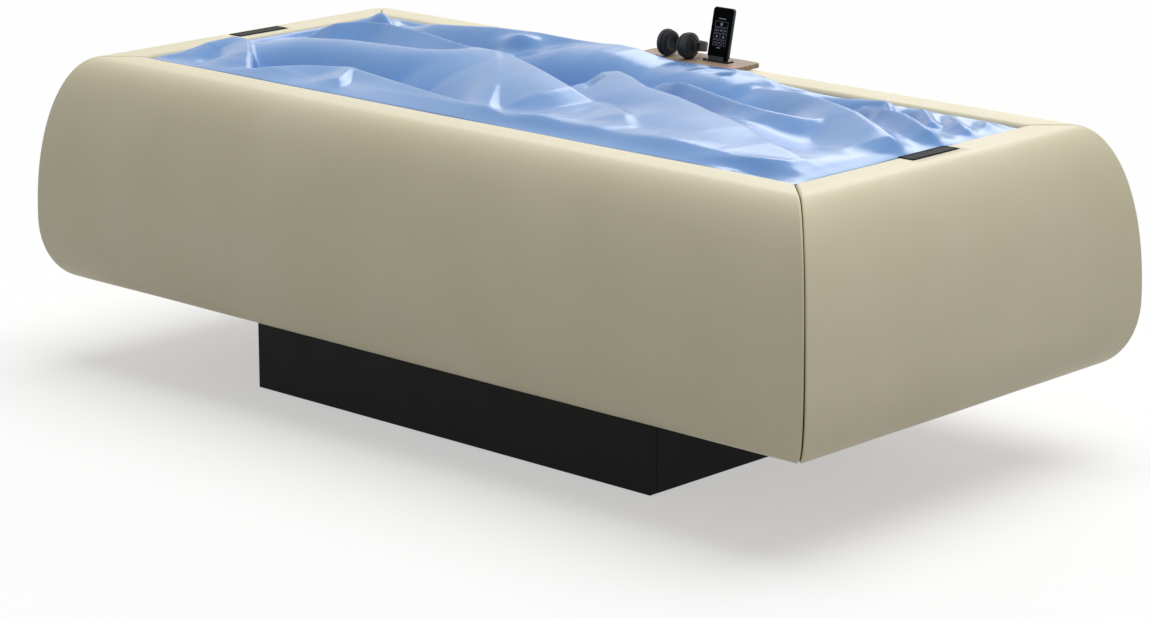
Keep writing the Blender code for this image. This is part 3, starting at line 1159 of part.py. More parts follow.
def band_place(angle, out, up, leg=0.0):
    """A point on the drooping headband: angle round its arch, out from its inner face, and up.

    leg is how far the point lies along the straight run before the arch.
    """
    x = (BAND_FACE + out) * math.cos(angle)
    y = YOKE_LENGTH + BAND_LEG_PAST - leg + (BAND_ARCH + out) * math.sin(angle)
    return (PHONES_X + x, PHONES_Y + y * math.cos(BAND_DROOP) + up * math.sin(BAND_DROOP),
            PHONES_Z - y * math.sin(BAND_DROOP) + up * math.cos(BAND_DROOP))


def make_band(middle):
    half = BAND_HEIGHT / 2
    bm = bmesh.new()
    stations = [(math.pi * k / PHONE_STEPS, 0.0) for k in range(PHONE_STEPS + 1)]
    stations = [(0.0, BAND_LEG)] + stations + [(math.pi, BAND_LEG)]
    section = ((0, -half), (BAND_THICKNESS, -half), (BAND_THICKNESS, half), (0, half))
    loops = [[band_place(angle, out, up, leg) for out, up in section] for angle, leg in stations]
    add_loft(bm, loops)
    finish_piece(bm, "headband", BLACK_PLASTIC, middle)
    bm = bmesh.new()
    loops = []
    steps = PHONE_STEPS // 2
    for k in range(steps + 1):
        angle = math.pi / 2 + BAND_PAD_SPREAD * (k / steps - 0.5)
        crown = BAND_PAD_THICKNESS * (0.4 + 0.6 * math.sin(math.pi * k / steps))
        loops.append([band_place(angle, out, up * half) for out, up in
                      ((-CLEAR, -0.85), (-CLEAR, 0.85), (-CLEAR - 0.8 * crown, 0.75),
                       (-CLEAR - crown, 0.3), (-CLEAR - crown, -0.3), (-CLEAR - 0.8 * crown, -0.75))])
    add_loft(bm, loops)
    finish_piece(bm, "headband_pad", EAR_FOAM, middle)


def main():
    clear_scene()
    make_plinth()
    make_base_frame()
    make_tub()
    make_shell()
    make_clamp_frame()
    make_fittings()
    make_lift()
    make_services()
    make_touch_strip("head", HEAD_TOUCH_SETBACK)
    make_touch_strip("foot", FOOT_TOUCH_SETBACK)
    make_membrane()
    make_tray()
    make_player()
    make_headphones()


main()
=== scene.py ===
"""Looks of the dry float bed: padded panels, membrane, headphones, finishes, light and camera.

Metres, +Z up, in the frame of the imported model: +X to the foot end, +Y to the rear side with the tray.
"""

import json
import math

import bmesh
import bpy
import numpy as np
from bmesh.types import BMEdge, BMVert
from mathutils import Matrix, Vector, noise


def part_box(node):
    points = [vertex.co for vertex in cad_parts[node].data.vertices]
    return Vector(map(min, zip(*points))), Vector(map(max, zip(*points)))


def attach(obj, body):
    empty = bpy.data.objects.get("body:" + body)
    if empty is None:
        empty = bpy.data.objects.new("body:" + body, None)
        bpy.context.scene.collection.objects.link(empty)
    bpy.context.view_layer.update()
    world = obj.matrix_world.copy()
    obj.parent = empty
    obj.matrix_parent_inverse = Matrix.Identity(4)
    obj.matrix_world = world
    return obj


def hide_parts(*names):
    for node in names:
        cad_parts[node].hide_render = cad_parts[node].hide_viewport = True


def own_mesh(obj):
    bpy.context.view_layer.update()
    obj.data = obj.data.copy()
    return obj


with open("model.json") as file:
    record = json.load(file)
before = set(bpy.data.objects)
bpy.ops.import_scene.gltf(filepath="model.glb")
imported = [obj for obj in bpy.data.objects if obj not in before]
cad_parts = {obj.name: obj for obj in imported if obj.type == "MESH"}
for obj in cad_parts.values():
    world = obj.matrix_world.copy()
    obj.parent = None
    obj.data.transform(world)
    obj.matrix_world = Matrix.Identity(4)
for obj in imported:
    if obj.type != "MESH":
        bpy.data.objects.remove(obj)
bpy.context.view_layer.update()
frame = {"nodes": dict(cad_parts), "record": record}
NODES = frame["nodes"]

# Camera, set to the photograph's view
CAMERA_PLACE = (5.04978, -5.35595, 2.13674)
CAMERA_BACK = (0.661475, -0.705927, 0.253215)
CAMERA_TURN = 0.7529            # heading of the image's right-hand direction, radians
CAMERA_LENS = 112.30            # mm, on a 36 mm wide sensor
SENSOR_WIDTH = 36.0

# Mesh making
MERGE = 0.00001                 # points nearer than this become one
FINE_MERGE = 0.000001           # the same on small pieces, and for cuts
SHARP_ANGLE = math.radians(40)  # edges sharper than this aren't shaded smooth

# Shell section, as in the solids
SHELL_REACH = 0.18              # opening edge to the widest point
RIM_FLAT = 0.07                 # flat top of the rim before it rounds over
RIM_EDGE_RADIUS = 0.014
BULGE_HEIGHT = 0.33             # height of the widest point
SHELL_TUCK = 0.075              # how far the lower edge draws in under the bulge
UPPER_FULLNESS = 2.1            # superellipse exponents of the two curves
LOWER_FULLNESS = 2.15
COVER_LIP = 0.036               # depth of the turned-down edge at the opening

# Covers and seams, finer than in the solids
COVER_THICKNESS = 0.006         # leatherette and its wadding, less than the rounding at a seam
SEAM_GAP = 0.0016               # between two panels at a mitred corner
SEAM_ROUND = 0.007              # rounding of a panel's edge beside the seam
SEAM_ROWS = (1.25, 2, 8)        # further rows of points beside the seam, as multiples of its rounding
LONG_CUTS = 28                  # rows of points from there to the middle of a long panel
SHORT_CUTS = 12                 # and of a short one
PADDING_RIPPLE = 0.0007         # slow swells of the padding under the cover
RIPPLES_PER_METRE = 5.0
POCKET_GAP = 0.0005             # round a touch strip
POCKET_DEPTH = 0.01             # faces this near the rim's height are taken out for it

# Membrane. Each fold is a crest line of (x, y, height over the rim), after the width over which it
# falls away on its front side, to the right of its run, the front's fullness (1 is straight, more
# swells), and the width of its back.
HEM_DROP = 0.0469               # rim height to the clamped hem
HEM_REACH = 0.035               # how far the hem reaches under the rim
EDGE_SLACK = 0.007              # rim height to the slack sheet beside the rim
DEEP_SLACK = 0.056              # rim height to the valleys in the middle
FOOT_SLACK = 0.008              # the same towards the foot end
FOOT_SLACK_START = 0.30         # where it starts, along x on the middle line
FOOT_SLACK_SLANT = 1.2          # how far that moves along x with y
FOOT_SLACK_RUN = 0.25
SLACK_SPREAD = 0.14             # distance from the rim to the deep valleys
EDGE_RISE = 0.007               # width over which the sheet rises from its hem
EDGE_CLEAR = 0.0015             # hem to where the sheet starts to rise
NEAR_TOUCH = 0.0065             # rim height to the sheet where it leaves the front and foot rims
NEAR_RAMP = 0.07                # run over which it comes down to the front rim
FOOT_RAMP = 0.045               # and to the foot rim
FAR_TOUCH = 0.002               # the same at the rear and head rims
FAR_RAMP = 0.030
RAMP_POWER = 1.3                # 1 comes down evenly, more is late and steep
SLACK_SWELL = 0.007             # slow rise and fall of the valleys
SWELL_SIZE = 0.16
BACK_FULLNESS = 0.80            # a fold's back is drawn in
FOLD_MERGE = 0.0045             # rounding where two folds meet
SHEET_CELLS = (272, 177)        # along x and y, which keeps the sheet under 200,000 triangles
CREST_PASSES = 1                # smoothing of the crests
SHEET_THICKNESS = 0.0008
FOLDS = [
    (0.17, 1.0, 0.06, [(-0.83, 0.02, 0.000), (-0.80, 0.057, 0.025), (-0.772, 0.075, 0.040),
                       (-0.741, 0.121, 0.042), (-0.672, 0.137, 0.042), (-0.524, 0.117, 0.042),
                       (-0.399, 0.085, 0.040), (-0.30, 0.068, 0.038), (-0.211, 0.066, 0.036)]),
    (0.26, 2.6, 0.06, [(-0.30, 0.068, 0.038), (-0.211, 0.066, 0.036), (-0.11, 0.025, 0.034),
                       (-0.031, -0.012, 0.032), (0.09, -0.065, 0.025), (0.165, -0.085, 0.008)]),
    (0.17, 2.4, 0.07, [(-0.84, -0.12, 0.002), (-0.804, -0.12, 0.016), (-0.722, -0.074, 0.030),
                       (-0.61, -0.036, 0.034), (-0.413, -0.012, 0.036), (-0.30, 0.05, 0.036)]),
    (0.20, 1.3, 0.05, [(-0.708, -0.346, 0.000), (-0.615, -0.300, 0.010), (-0.547, -0.231, 0.014),
                       (-0.451, -0.181, 0.015), (-0.241, -0.228, 0.013), (-0.104, -0.255, 0.011),
                       (0.058, -0.28, 0.009), (0.17, -0.325, -0.004)]),
    (0.14, 1.1, 0.05, [(-0.78, 0.305, -0.006), (-0.685, 0.30, 0.016), (-0.493, 0.30, 0.033),
                       (-0.355, 0.302, 0.037), (-0.237, 0.302, 0.035), (-0.12, 0.302, 0.030)]),
    (0.20, 3.6, 0.05, [(-0.34, 0.295, 0.004), (-0.22, 0.30, 0.030), (-0.115, 0.302, 0.039),
                       (-0.06, 0.302, 0.037), (-0.005, 0.302, 0.029), (0.05, 0.302, 0.0235),
                       (0.11, 0.302, 0.026), (0.25, 0.30, 0.027), (0.308, 0.295, 0.020),
                       (0.345, 0.29, 0.006)]),
    (0.07, 2.2, 0.12, [(0.085, 0.180, -0.006), (0.109, 0.199, 0.010), (0.140, 0.223, 0.020),
                       (0.165, 0.262, 0.027), (0.20, 0.287, 0.028), (0.25, 0.30, 0.026)]),
    (0.125, 1.3, 0.05, [(0.34, 0.240, 0.014), (0.46, 0.213, 0.027), (0.55, 0.178, 0.032),
                        (0.63, 0.140, 0.034), (0.705, 0.105, 0.034), (0.80, 0.045, 0.031),
                        (0.865, 0.005, 0.024), (0.91, -0.020, 0.004)]),
    (0.275, 1.7, 0.08, [(-0.02, 0.085, 0.000), (-0.004, 0.116, 0.020), (0.033, 0.134, 0.026),
                       (0.095, 0.106, 0.026), (0.198, 0.045, 0.026), (0.308, 0.013, 0.026),
                       (0.47, -0.058, 0.025), (0.596, -0.11, 0.022), (0.717, -0.181, 0.016),
                       (0.81, -0.221, 0.008), (0.89, -0.236, 0.000)]),
    (0.088, 1.15, 0.09, [(0.15, 0.145, 0.014), (0.20, 0.133, 0.026), (0.241, 0.126, 0.027),
                        (0.35, 0.083, 0.027), (0.46, 0.040, 0.028), (0.54, 0.022, 0.027),
                        (0.60, 0.026, 0.024), (0.63, 0.052, 0.018), (0.645, 0.085, 0.010)]),
    (0.15, 1.6, 0.035, [(-0.905, -0.33, -0.014), (-0.895, -0.28, 0.002), (-0.885, -0.21, 0.018),
                        (-0.86, -0.155, 0.027), (-0.81, -0.155, 0.027), (-0.711, -0.235, 0.022),
                        (-0.65, -0.30, 0.004)]),
    (0.05, 1.5, 0.04, [(-0.905, 0.30, -0.006), (-0.875, 0.31, 0.006), (-0.835, 0.29, 0.010),
                       (-0.77, 0.26, 0.000)]),
    (0.10, 2.4, 0.16, [(-0.25, 0.06, 0.034), (-0.15, -0.04, 0.026), (-0.05, -0.15, 0.017),
                       (0.045, -0.262, 0.000)]),
    (0.14, 1.6, 0.05, [(0.14, -0.07, -0.010), (0.20, -0.088, 0.006), (0.26, -0.115, 0.015),
                       (0.33, -0.165, 0.017), (0.40, -0.230, 0.010), (0.43, -0.265, -0.004)]),
    (0.12, 1.8, 0.085, [(-0.43, -0.205, 0.014), (-0.385, -0.272, 0.012), (-0.343, -0.340, 0.000)]),
    (0.045, 1.1, 0.08, [(0.58, -0.345, -0.010), (0.662, -0.318, 0.007), (0.727, -0.297, 0.012),
                        (0.783, -0.281, 0.013), (0.826, -0.262, 0.010), (0.85, -0.20, 0.000)]),
    (0.050, 1.0, 0.05, [(0.58, 0.280, 0.008), (0.67, 0.225, 0.024), (0.75, 0.190, 0.027),
                        (0.81, 0.152, 0.027), (0.865, 0.120, 0.022), (0.912, 0.100, 0.004)]),
    (0.028, 1.1, 0.03, [(0.52, 0.345, 0.000), (0.57, 0.335, 0.009), (0.605, 0.322, 0.012),
                        (0.635, 0.290, 0.010), (0.66, 0.262, 0.004)]),
    (0.030, 1.1, 0.03, [(0.66, 0.340, 0.000), (0.70, 0.318, 0.010), (0.735, 0.285, 0.011),
                        (0.775, 0.250, 0.006)]),
    (0.032, 1.1, 0.03, [(0.76, 0.325, 0.000), (0.81, 0.277, 0.011), (0.845, 0.250, 0.014),
                        (0.885, 0.222, 0.008), (0.912, 0.204, -0.004)]),
    (0.026, 1.1, 0.03, [(0.83, 0.338, -0.004), (0.868, 0.306, 0.008), (0.905, 0.265, -0.004)]),
]
BILLOWS = [                     # x, y, height, half-length along x, half-width along y
    (-0.860, 0.290, 0.015, 0.044, 0.038),
    (-0.37, 0.248, 0.026, 0.060, 0.024),
    (0.22, -0.285, 0.012, 0.170, 0.042),
    (0.53, -0.280, 0.009, 0.110, 0.045),
    (0.80, -0.145, 0.009, 0.090, 0.090),
    (0.80, -0.330, -0.016, 0.080, 0.026),
]

# Headphones, as in the solids
CUSHION_RADIUS = 0.027
CUSHION_DEPTH = 0.012
CUSHION_DISH = 0.004            # how far the middle of a cushion lies back
CUP_RADIUS = 0.029
CUP_DEPTH = 0.014
CUP_GAP = 0.0003                # cushion to cup
HINGE_RADIUS = 0.0028
HINGE_BARREL = 0.008
BAND_FACE = 0.0497              # middle to the headband's inner face
BAND_THICKNESS = 0.0025
BAND_HEIGHT = 0.020
BAND_START = 0.028              # ear axis to the start of the arch
BAND_LEG = 0.018
BAND_ARCH = 0.034
BAND_DROOP = math.radians(9)
BAND_PAD_THICKNESS = 0.006
BAND_PAD_SPREAD = math.radians(100)
BAND_PAD_GAP = 0.0003

# Headphones, finer than in the solids; shares are of the piece's own radius or depth
CUSHION_HOLE = 0.40             # radius of the dished middle
CUSHION_WAIST = 0.62            # depth at which the cushion is widest
CUSHION_SEAT = 0.9              # radius where it meets the cup
CUP_BASE = 0.9                  # radius of the flat behind the cushion
CUP_FOOT = 0.15                 # depth of the rounding there
CUP_PARTING = (0.40, 0.43, 0.47, 0.50)  # depths across the parting line
CUP_SHOULDER = 0.55             # depth at which the side starts to round over
CUP_FLAT = 0.6                  # radius of the flat face
CUP_RINGS = (0.52, 0.30)        # radii of the two grooves on the face
CUP_RING_HALF = 0.03            # half the width of such a groove
CUP_GROOVE = 0.0007             # depth of the grooves and of the parting line
HINGE_SIDES = 24
HINGE_EDGE = 0.0005             # rounding of the barrel's rims
HINGE_RIM_ANGLE = math.radians(60)  # only the rims are sharper than this
NECK_LENGTH = 1.8 * HINGE_RADIUS
NECK_WIDTH = 1.6 * HINGE_RADIUS
NECK_HEIGHT = 0.96 * HINGE_BARREL
BAND_STEPS = 48
BAND_OUT_POWER = 0.6            # superellipse powers of the section; less is squarer
BAND_UP_POWER = 0.35
BAND_PAD_END = 0.25             # share of its thickness that the pad has at its ends
BAND_PAD_POWER = 0.6            # less swells sooner
BAND_PAD_WIDTH = 0.85           # share of the band's height
TURN_STEPS = 64

# Prints on glass
PRINT_THICKNESS = 0.0002
DISC_CORNERS = 32
RING_CORNERS = 40
PLAYER_LEAN = math.radians(12)
SCREEN_FRONT = 0.0006           # middle of the player's glass to the marks on it
TILE_SPAN = 0.036               # width of a row of tiles on the screen
TILE_HEIGHT = 0.0120
TILE_GAP = 0.0014
TILE_LINE = 0.0005
TILE_TOP = 0.0190               # screen's middle to the middle of the upper row
TILE_ROWS = ((1, 0.0036), (3, 0.0022), (2, 0.0028), (3, 0.0018))  # tiles in a row, radius of their dots
SCREEN_BARS = (0.020, 0.010)    # widths of the bars over and under the tiles
SCREEN_BAR_HEIGHT = 0.0022
STRIP_BORDER = 0.0045
STRIP_KEYS = 5
KEY_PITCH = 0.024
KEY_RADIUS = 0.0065
KEY_LINE = 0.0011
TICK_SIZE = (0.0012, 0.010)     # between two keys
DASH_SIZE = (0.005, 0.0012)     # in the middle key

# Air bellows
BELLOWS_FOLDS = 5
BELLOWS_DEPTH = 0.020
BELLOWS_PLATE = 0.008           # flat end under and over the folds
BELLOWS_CLEAR = 0.0003
BELLOWS_STEPS = 12              # points along one fold
BELLOWS_POWER = 0.7             # less makes a fold fuller

# Floor and light
FLOOR_HALF = 30.0               # half the floor's width
FLOOR_GLOW = 0.5                # share of plain white in the floor as the camera sees it
FLOOR_BOUNCE = "#B6B5B1"        # the floor's colour for the light that it throws back
SKY_FILL = 0.24                 # level of the studio's soft fill
LAMPS = [                       # name, strength, spread in degrees, shows in gloss, direction
    ("overhead", 2.25, 55, False, (0.09, 0.20, 0.97)),
    ("behind", 0.34, 26, True, (-0.45, 0.78, 0.42)),
]

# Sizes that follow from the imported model
SHELL_LOW, SHELL_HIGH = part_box("front_cover")
RIM_HEIGHT = SHELL_HIGH.z
SHELL_BOTTOM = SHELL_LOW.z
HALF_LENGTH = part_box("foot_cover")[1].x - SHELL_REACH
HALF_WIDTH = -SHELL_LOW.y - SHELL_REACH
HEM_TOP = RIM_HEIGHT - HEM_DROP
LEFT_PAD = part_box("left_cushion")
RIGHT_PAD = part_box("right_cushion")
PHONES_MIDDLE = (LEFT_PAD[0] + LEFT_PAD[1] + RIGHT_PAD[0] + RIGHT_PAD[1]) / 4
PAD_FACE = RIGHT_PAD[0].x - PHONES_MIDDLE.x
PAD_SEAT = PAD_FACE + CUSHION_DEPTH


# Materials

def srgb(code):
    """A hex colour as linear red, green, blue and alpha."""
    parts = [int(code[k:k + 2], 16) / 255 for k in (1, 3, 5)]
    linear = [p / 12.92 if p <= 0.04045 else ((p + 0.055) / 1.055) ** 2.4 for p in parts]
    return (*linear, 1.0)


def add_node(tree, kind, settings=None, into=None, **links):
    """Add a node with its settings, link outputs to its inputs, and link its first output into a socket."""
    node = tree.nodes.new(kind)
    for name, value in (settings or {}).items():
        if name in node.inputs:
            node.inputs[name].default_value = value
        else:
            setattr(node, name, value)
    for name, output in links.items():
        tree.links.new(output, node.inputs[name.replace("_", " ")])
    if into is not None:
        tree.links.new(node.outputs[0], into)
    return node


def new_material(name, colour, roughness, metallic=0.0, **sockets):
    """A material with a shader set up; returns it with its tree, shader and object coordinates."""
    material = bpy.data.materials.new(name)
    material.use_nodes = True
    tree = material.node_tree
    shader = tree.nodes["Principled BSDF"]
    shader.inputs["Base Color"].default_value = srgb(colour)
    shader.inputs["Roughness"].default_value = roughness
    shader.inputs["Metallic"].default_value = metallic
    for socket, value in sockets.items():
        shader.inputs[socket.replace("_", " ")].default_value = value
    place = add_node(tree, "ShaderNodeTexCoord").outputs["Object"]
    return material, tree, shader, place


def per_metre(millimetres):
    """The texture scale that repeats a pattern about every so many millimetres."""
    return 1000 / millimetres


def mottle(tree, shader, place, millimetres, dark, light, detail=3.0):
    """Let the colour drift between two shades over patches of a real size."""
    patches = add_node(tree, "ShaderNodeTexNoise",
                       {"Scale": per_metre(millimetres), "Detail": detail}, Vector=place)
    ramp = add_node(tree, "ShaderNodeValToRGB", into=shader.inputs["Base Color"], Fac=patches.outputs["Fac"])
    ramp.color_ramp.elements[0].position = 0.35
    ramp.color_ramp.elements[0].color = srgb(dark)
    ramp.color_ramp.elements[1].position = 0.65
    ramp.color_ramp.elements[1].color = srgb(light)
    return ramp


def wear_gloss(tree, shader, place, millimetres, low, high):
    """Let the roughness vary over patches of a real size."""
    patches = add_node(tree, "ShaderNodeTexNoise",
                       {"Scale": per_metre(millimetres), "Detail": 4.0}, Vector=place)
    add_node(tree, "ShaderNodeMapRange", {"To Min": low, "To Max": high}, shader.inputs["Roughness"],
             Value=patches.outputs["Fac"])


def roughen(tree, shader, place, millimetres, strength, depth, detail=2.0):
    """Raise the surface by an uneven grain of a real size, to a depth in metres."""
    grain = add_node(tree, "ShaderNodeTexNoise",
                     {"Scale": per_metre(millimetres), "Detail": detail}, Vector=place)
    return add_node(tree, "ShaderNodeBump", {"Strength": strength, "Distance": depth},
                    shader.inputs["Normal"], Height=grain.outputs["Fac"])


def leatherette():
    """PVC-coated upholstery cloth, embossed: a satin cream face with a fine pebble grain."""
    material, tree, shader, place = new_material("cream_leatherette", "#DFD7BA", 0.46)
    mottle(tree, shader, place, 260, "#DDD5B7", "#E2DABE")
    wear_gloss(tree, shader, place, 120, 0.42, 0.52)
    swells = roughen(tree, shader, place, 45, 0.06, 0.002)
    # The real pebbles are about 1 mm wide, and are drawn at 3 mm so that they show.
    pebbles = add_node(tree, "ShaderNodeTexVoronoi", {"Scale": per_metre(3.0), "Randomness": 1.0},
                       Vector=place)
    add_node(tree, "ShaderNodeBump", {"Strength": 0.10, "Distance": 0.0004}, swells.inputs["Normal"],
             Height=pebbles.outputs["Distance"])
    return material


def membrane_film():
    """Coated polyurethane film, calendered: a satin blue skin with a soft gloss on its creases."""
    material, tree, shader, place = new_material("blue_membrane_film", "#6294D0", 0.19,
                                                 Specular_IOR_Level=0.5)
    mottle(tree, shader, place, 180, "#5E90CD", "#6798D4")
    wear_gloss(tree, shader, place, 70, 0.16, 0.22)
    roughen(tree, shader, place, 30, 0.10, 0.003, 3.0)
    return material


def black_board():
    """Black laminated board: matt, with a faint textured print of the press plate."""
    material, tree, shader, place = new_material("black_laminate", "#0E0E0D", 0.58, Specular_IOR_Level=0.14)
    wear_gloss(tree, shader, place, 90, 0.48, 0.62)
    # The real print is about 0.5 mm wide, and is drawn at 2.5 mm so that it shows.
    roughen(tree, shader, place, 2.5, 0.12, 0.0004)
    return material


def frame_steel():
    """Powder-coated mild steel: grey with a fine orange peel."""
    material, tree, shader, place = new_material("grey_powder_coat", "#6E7072", 0.50)
    roughen(tree, shader, place, 3.0, 0.20, 0.0005)
    wear_gloss(tree, shader, place, 60, 0.45, 0.58)
    return material


def brushed_metal(name, colour, millimetres, stretch):
    """Drawn or brushed metal: fine lines along one direction that blur the gloss."""
    material, tree, shader, place = new_material(name, colour, 0.32, 1.0)
    along = add_node(tree, "ShaderNodeMapping", {"Scale": stretch}, Vector=place)
    # Real lines are about 0.1 mm apart, and are drawn over 1 mm apart so that they show.
    lines = add_node(tree, "ShaderNodeTexNoise", {"Scale": per_metre(millimetres), "Detail": 4.0},
                     Vector=along.outputs["Vector"])
    add_node(tree, "ShaderNodeMapRange", {"To Min": 0.29, "To Max": 0.45}, shader.inputs["Roughness"],
             Value=lines.outputs["Fac"])
    add_node(tree, "ShaderNodeBump", {"Strength": 0.08, "Distance": 0.0002}, shader.inputs["Normal"],
             Height=lines.outputs["Fac"])
    return material


def cast_brass():
    """Cast brass, tumbled: warm yellow with a slightly uneven skin."""
    material, tree, shader, place = new_material("cast_brass", "#B08D4A", 0.36, 1.0)
    wear_gloss(tree, shader, place, 12, 0.28, 0.46)
    # The real skin's grain is about 0.5 mm wide, and is drawn at 2 mm so that it shows.
    roughen(tree, shader, place, 2.0, 0.15, 0.0003)
    return material


def plywood():
    """Rotary-cut birch plywood, unfinished: pale with long wavy grain."""
    material, tree, shader, place = new_material("birch_plywood", "#C9A77B", 0.66)
    along = add_node(tree, "ShaderNodeMapping", {"Scale": (0.08, 1.0, 1.0)}, Vector=place)
    mottle(tree, shader, along.outputs["Vector"], 9, "#BE9A6C", "#D2B388", 5.0)
    roughen(tree, shader, along.outputs["Vector"], 3.0, 0.10, 0.0004)
    return material


def polypropylene():
    """Extruded polypropylene sheet, welded: grey-white, waxy and slightly uneven."""
    material, tree, shader, place = new_material("grey_polypropylene", "#D6D7D4", 0.42)
    mottle(tree, shader, place, 140, "#D1D2CF", "#DADBD8")
    roughen(tree, shader, place, 20, 0.06, 0.001)
    return material


def rigid_foam():
    """Expanded graphite polystyrene, cut: dark grey beads pressed together."""
    material, tree, shader, place = new_material("graphite_bead_foam", "#3C3D3E", 0.92)
    beads = add_node(tree, "ShaderNodeTexVoronoi", {"Scale": per_metre(4.5)}, Vector=place)
    ramp = add_node(tree, "ShaderNodeValToRGB", into=shader.inputs["Base Color"],
                    Fac=beads.outputs["Distance"])
    ramp.color_ramp.elements[0].color = srgb("#46484A")
    ramp.color_ramp.elements[1].color = srgb("#2C2D2E")
    add_node(tree, "ShaderNodeBump", {"Strength": 0.25, "Distance": 0.0008}, shader.inputs["Normal"],
             Height=beads.outputs["Distance"])
    return material


def moulded_rubber():
    """Black moulded rubber: matt with a dry, slightly dusty bloom."""
    material, tree, shader, place = new_material("black_rubber", "#232323", 0.72)
    mottle(tree, shader, place, 25, "#202020", "#292928")
    # The real skin's grain is about 0.3 mm wide, and is drawn at 1.5 mm so that it shows.
    roughen(tree, shader, place, 1.5, 0.12, 0.0003)
    return material


def heater_silicone():
    """Cast silicone over glass cloth: red-brown with the cloth's weave showing through."""
    material, tree, shader, place = new_material("heater_silicone", "#B06F52", 0.60)
    # Real threads are about 1 mm apart, and are drawn at 4 mm so that they show.
    threads = add_node(tree, "ShaderNodeTexChecker", {"Scale": per_metre(4.0)}, Vector=place)
    add_node(tree, "ShaderNodeBump", {"Strength": 0.20, "Distance": 0.0003}, shader.inputs["Normal"],
             Height=threads.outputs["Fac"])
    mottle(tree, shader, place, 60, "#A8684C", "#B87658")
    return material


def moulded_plastic(name, colour, dark, light, low, high):
    """Injection-moulded ABS: an even colour under a fine spark-eroded texture."""
    material, tree, shader, place = new_material(name, colour, (low + high) / 2)
    mottle(tree, shader, place, 30, dark, light)
    wear_gloss(tree, shader, place, 15, low, high)
    # Real spark-eroded pits are about 0.1 mm wide, and are drawn at 0.9 mm so that they show.
    roughen(tree, shader, place, 0.9, 0.10, 0.0002)
    return material


def dark_glass():
    """Toughened glass, printed black behind: a hard gloss over a near-black face."""
    material, tree, shader, place = new_material("back_printed_glass", "#101010", 0.24,
                                                 Specular_IOR_Level=0.007)
    wear_gloss(tree, shader, place, 25, 0.18, 0.26)
    return material


def tray_wood():
    """Oiled oak board: long open grain along the tray, drifting from pinkish to olive brown."""
    material, tree, shader, place = new_material("oiled_oak", "#9C8777", 0.52)
    along = add_node(tree, "ShaderNodeMapping", {"Scale": (0.07, 1.0, 1.0)}, Vector=place)
    streaks = mottle(tree, shader, along.outputs["Vector"], 5, "#92796B", "#B9A294", 6.0)
    patches = add_node(tree, "ShaderNodeTexNoise", {"Scale": per_metre(110), "Detail": 1.0}, Vector=place)
    drift = add_node(tree, "ShaderNodeValToRGB", Fac=patches.outputs["Fac"])
    drift.color_ramp.elements[0].position = 0.42
    drift.color_ramp.elements[0].color = srgb("#FFF4EE")
    drift.color_ramp.elements[1].position = 0.58
    drift.color_ramp.elements[1].color = srgb("#E6ECD8")
    # On a mix of colours, sockets 6 and 7 are the two colours and output 2 is the result.
    shade = add_node(tree, "ShaderNodeMix", {"data_type": "RGBA", "blend_type": "MULTIPLY", "Factor": 1.0})
    tree.links.new(streaks.outputs["Color"], shade.inputs[6])
    tree.links.new(drift.outputs["Color"], shade.inputs[7])
    tree.links.new(shade.outputs[2], shader.inputs["Base Color"])
    roughen(tree, shader, along.outputs["Vector"], 2.0, 0.20, 0.0004, 5.0)
    wear_gloss(tree, shader, place, 30, 0.44, 0.60)
    return material


def ear_foam():
    """Open-cell foam under thin knitted cloth: black, soft-edged, with no gloss."""
    material, tree, shader, place = new_material("black_ear_foam", "#1D1D1F", 0.9, Sheen_Weight=0.3)
    # Real cells are about 0.5 mm wide, and are drawn at 1.4 mm so that they show.
    cells = add_node(tree, "ShaderNodeTexVoronoi", {"Scale": per_metre(1.4)}, Vector=place)
    add_node(tree, "ShaderNodeBump", {"Strength": 0.35, "Distance": 0.0005}, shader.inputs["Normal"],
             Height=cells.outputs["Distance"])
    mottle(tree, shader, place, 8, "#1A1A1C", "#222224")
    return material


def printed_ink(name, colour):
    """Screen-printed ink: a thin matt film on the glass."""
    material, tree, shader, place = new_material(name, colour, 0.55, Specular_IOR_Level=0.0)
    wear_gloss(tree, shader, place, 6, 0.45, 0.65)
    return material


FINISHES = {
    "leatherette": leatherette(),
    "membrane_film": membrane_film(),
    "black_board": black_board(),
    "frame_steel": frame_steel(),
    "stainless": brushed_metal("brushed_stainless", "#C3C3C1", 1.2, (0.05, 1.0, 1.0)),
    "aluminium": brushed_metal("mill_aluminium", "#CFCFCE", 1.5, (0.04, 1.0, 1.0)),
    "brass": cast_brass(),
    "plywood": plywood(),
    "polypropylene": polypropylene(),
    "rigid_foam": rigid_foam(),
    "rubber": moulded_rubber(),
    "heater_silicone": heater_silicone(),
    "grey_plastic": moulded_plastic("grey_abs", "#6F7071", "#6A6B6C", "#757677", 0.42, 0.56),
    "black_plastic": moulded_plastic("charcoal_abs", "#1F2022", "#1C1D1F", "#232426", 0.34, 0.50),
    "dark_glass": dark_glass(),
    "tray_wood": tray_wood(),
    "ear_foam": ear_foam(),
}
SCREEN_INK = printed_ink("pale_grey_ink", "#A9ABAD")
STRIP_INK = printed_ink("dim_grey_ink", "#6E6D6A")
BORDER_INK = printed_ink("black_ink", "#0C0B0A")
DOCK_PLASTIC = moulded_plastic("black_abs", "#0A0A0B", "#090909", "#0D0C0D", 0.34, 0.46)


# Building pieces

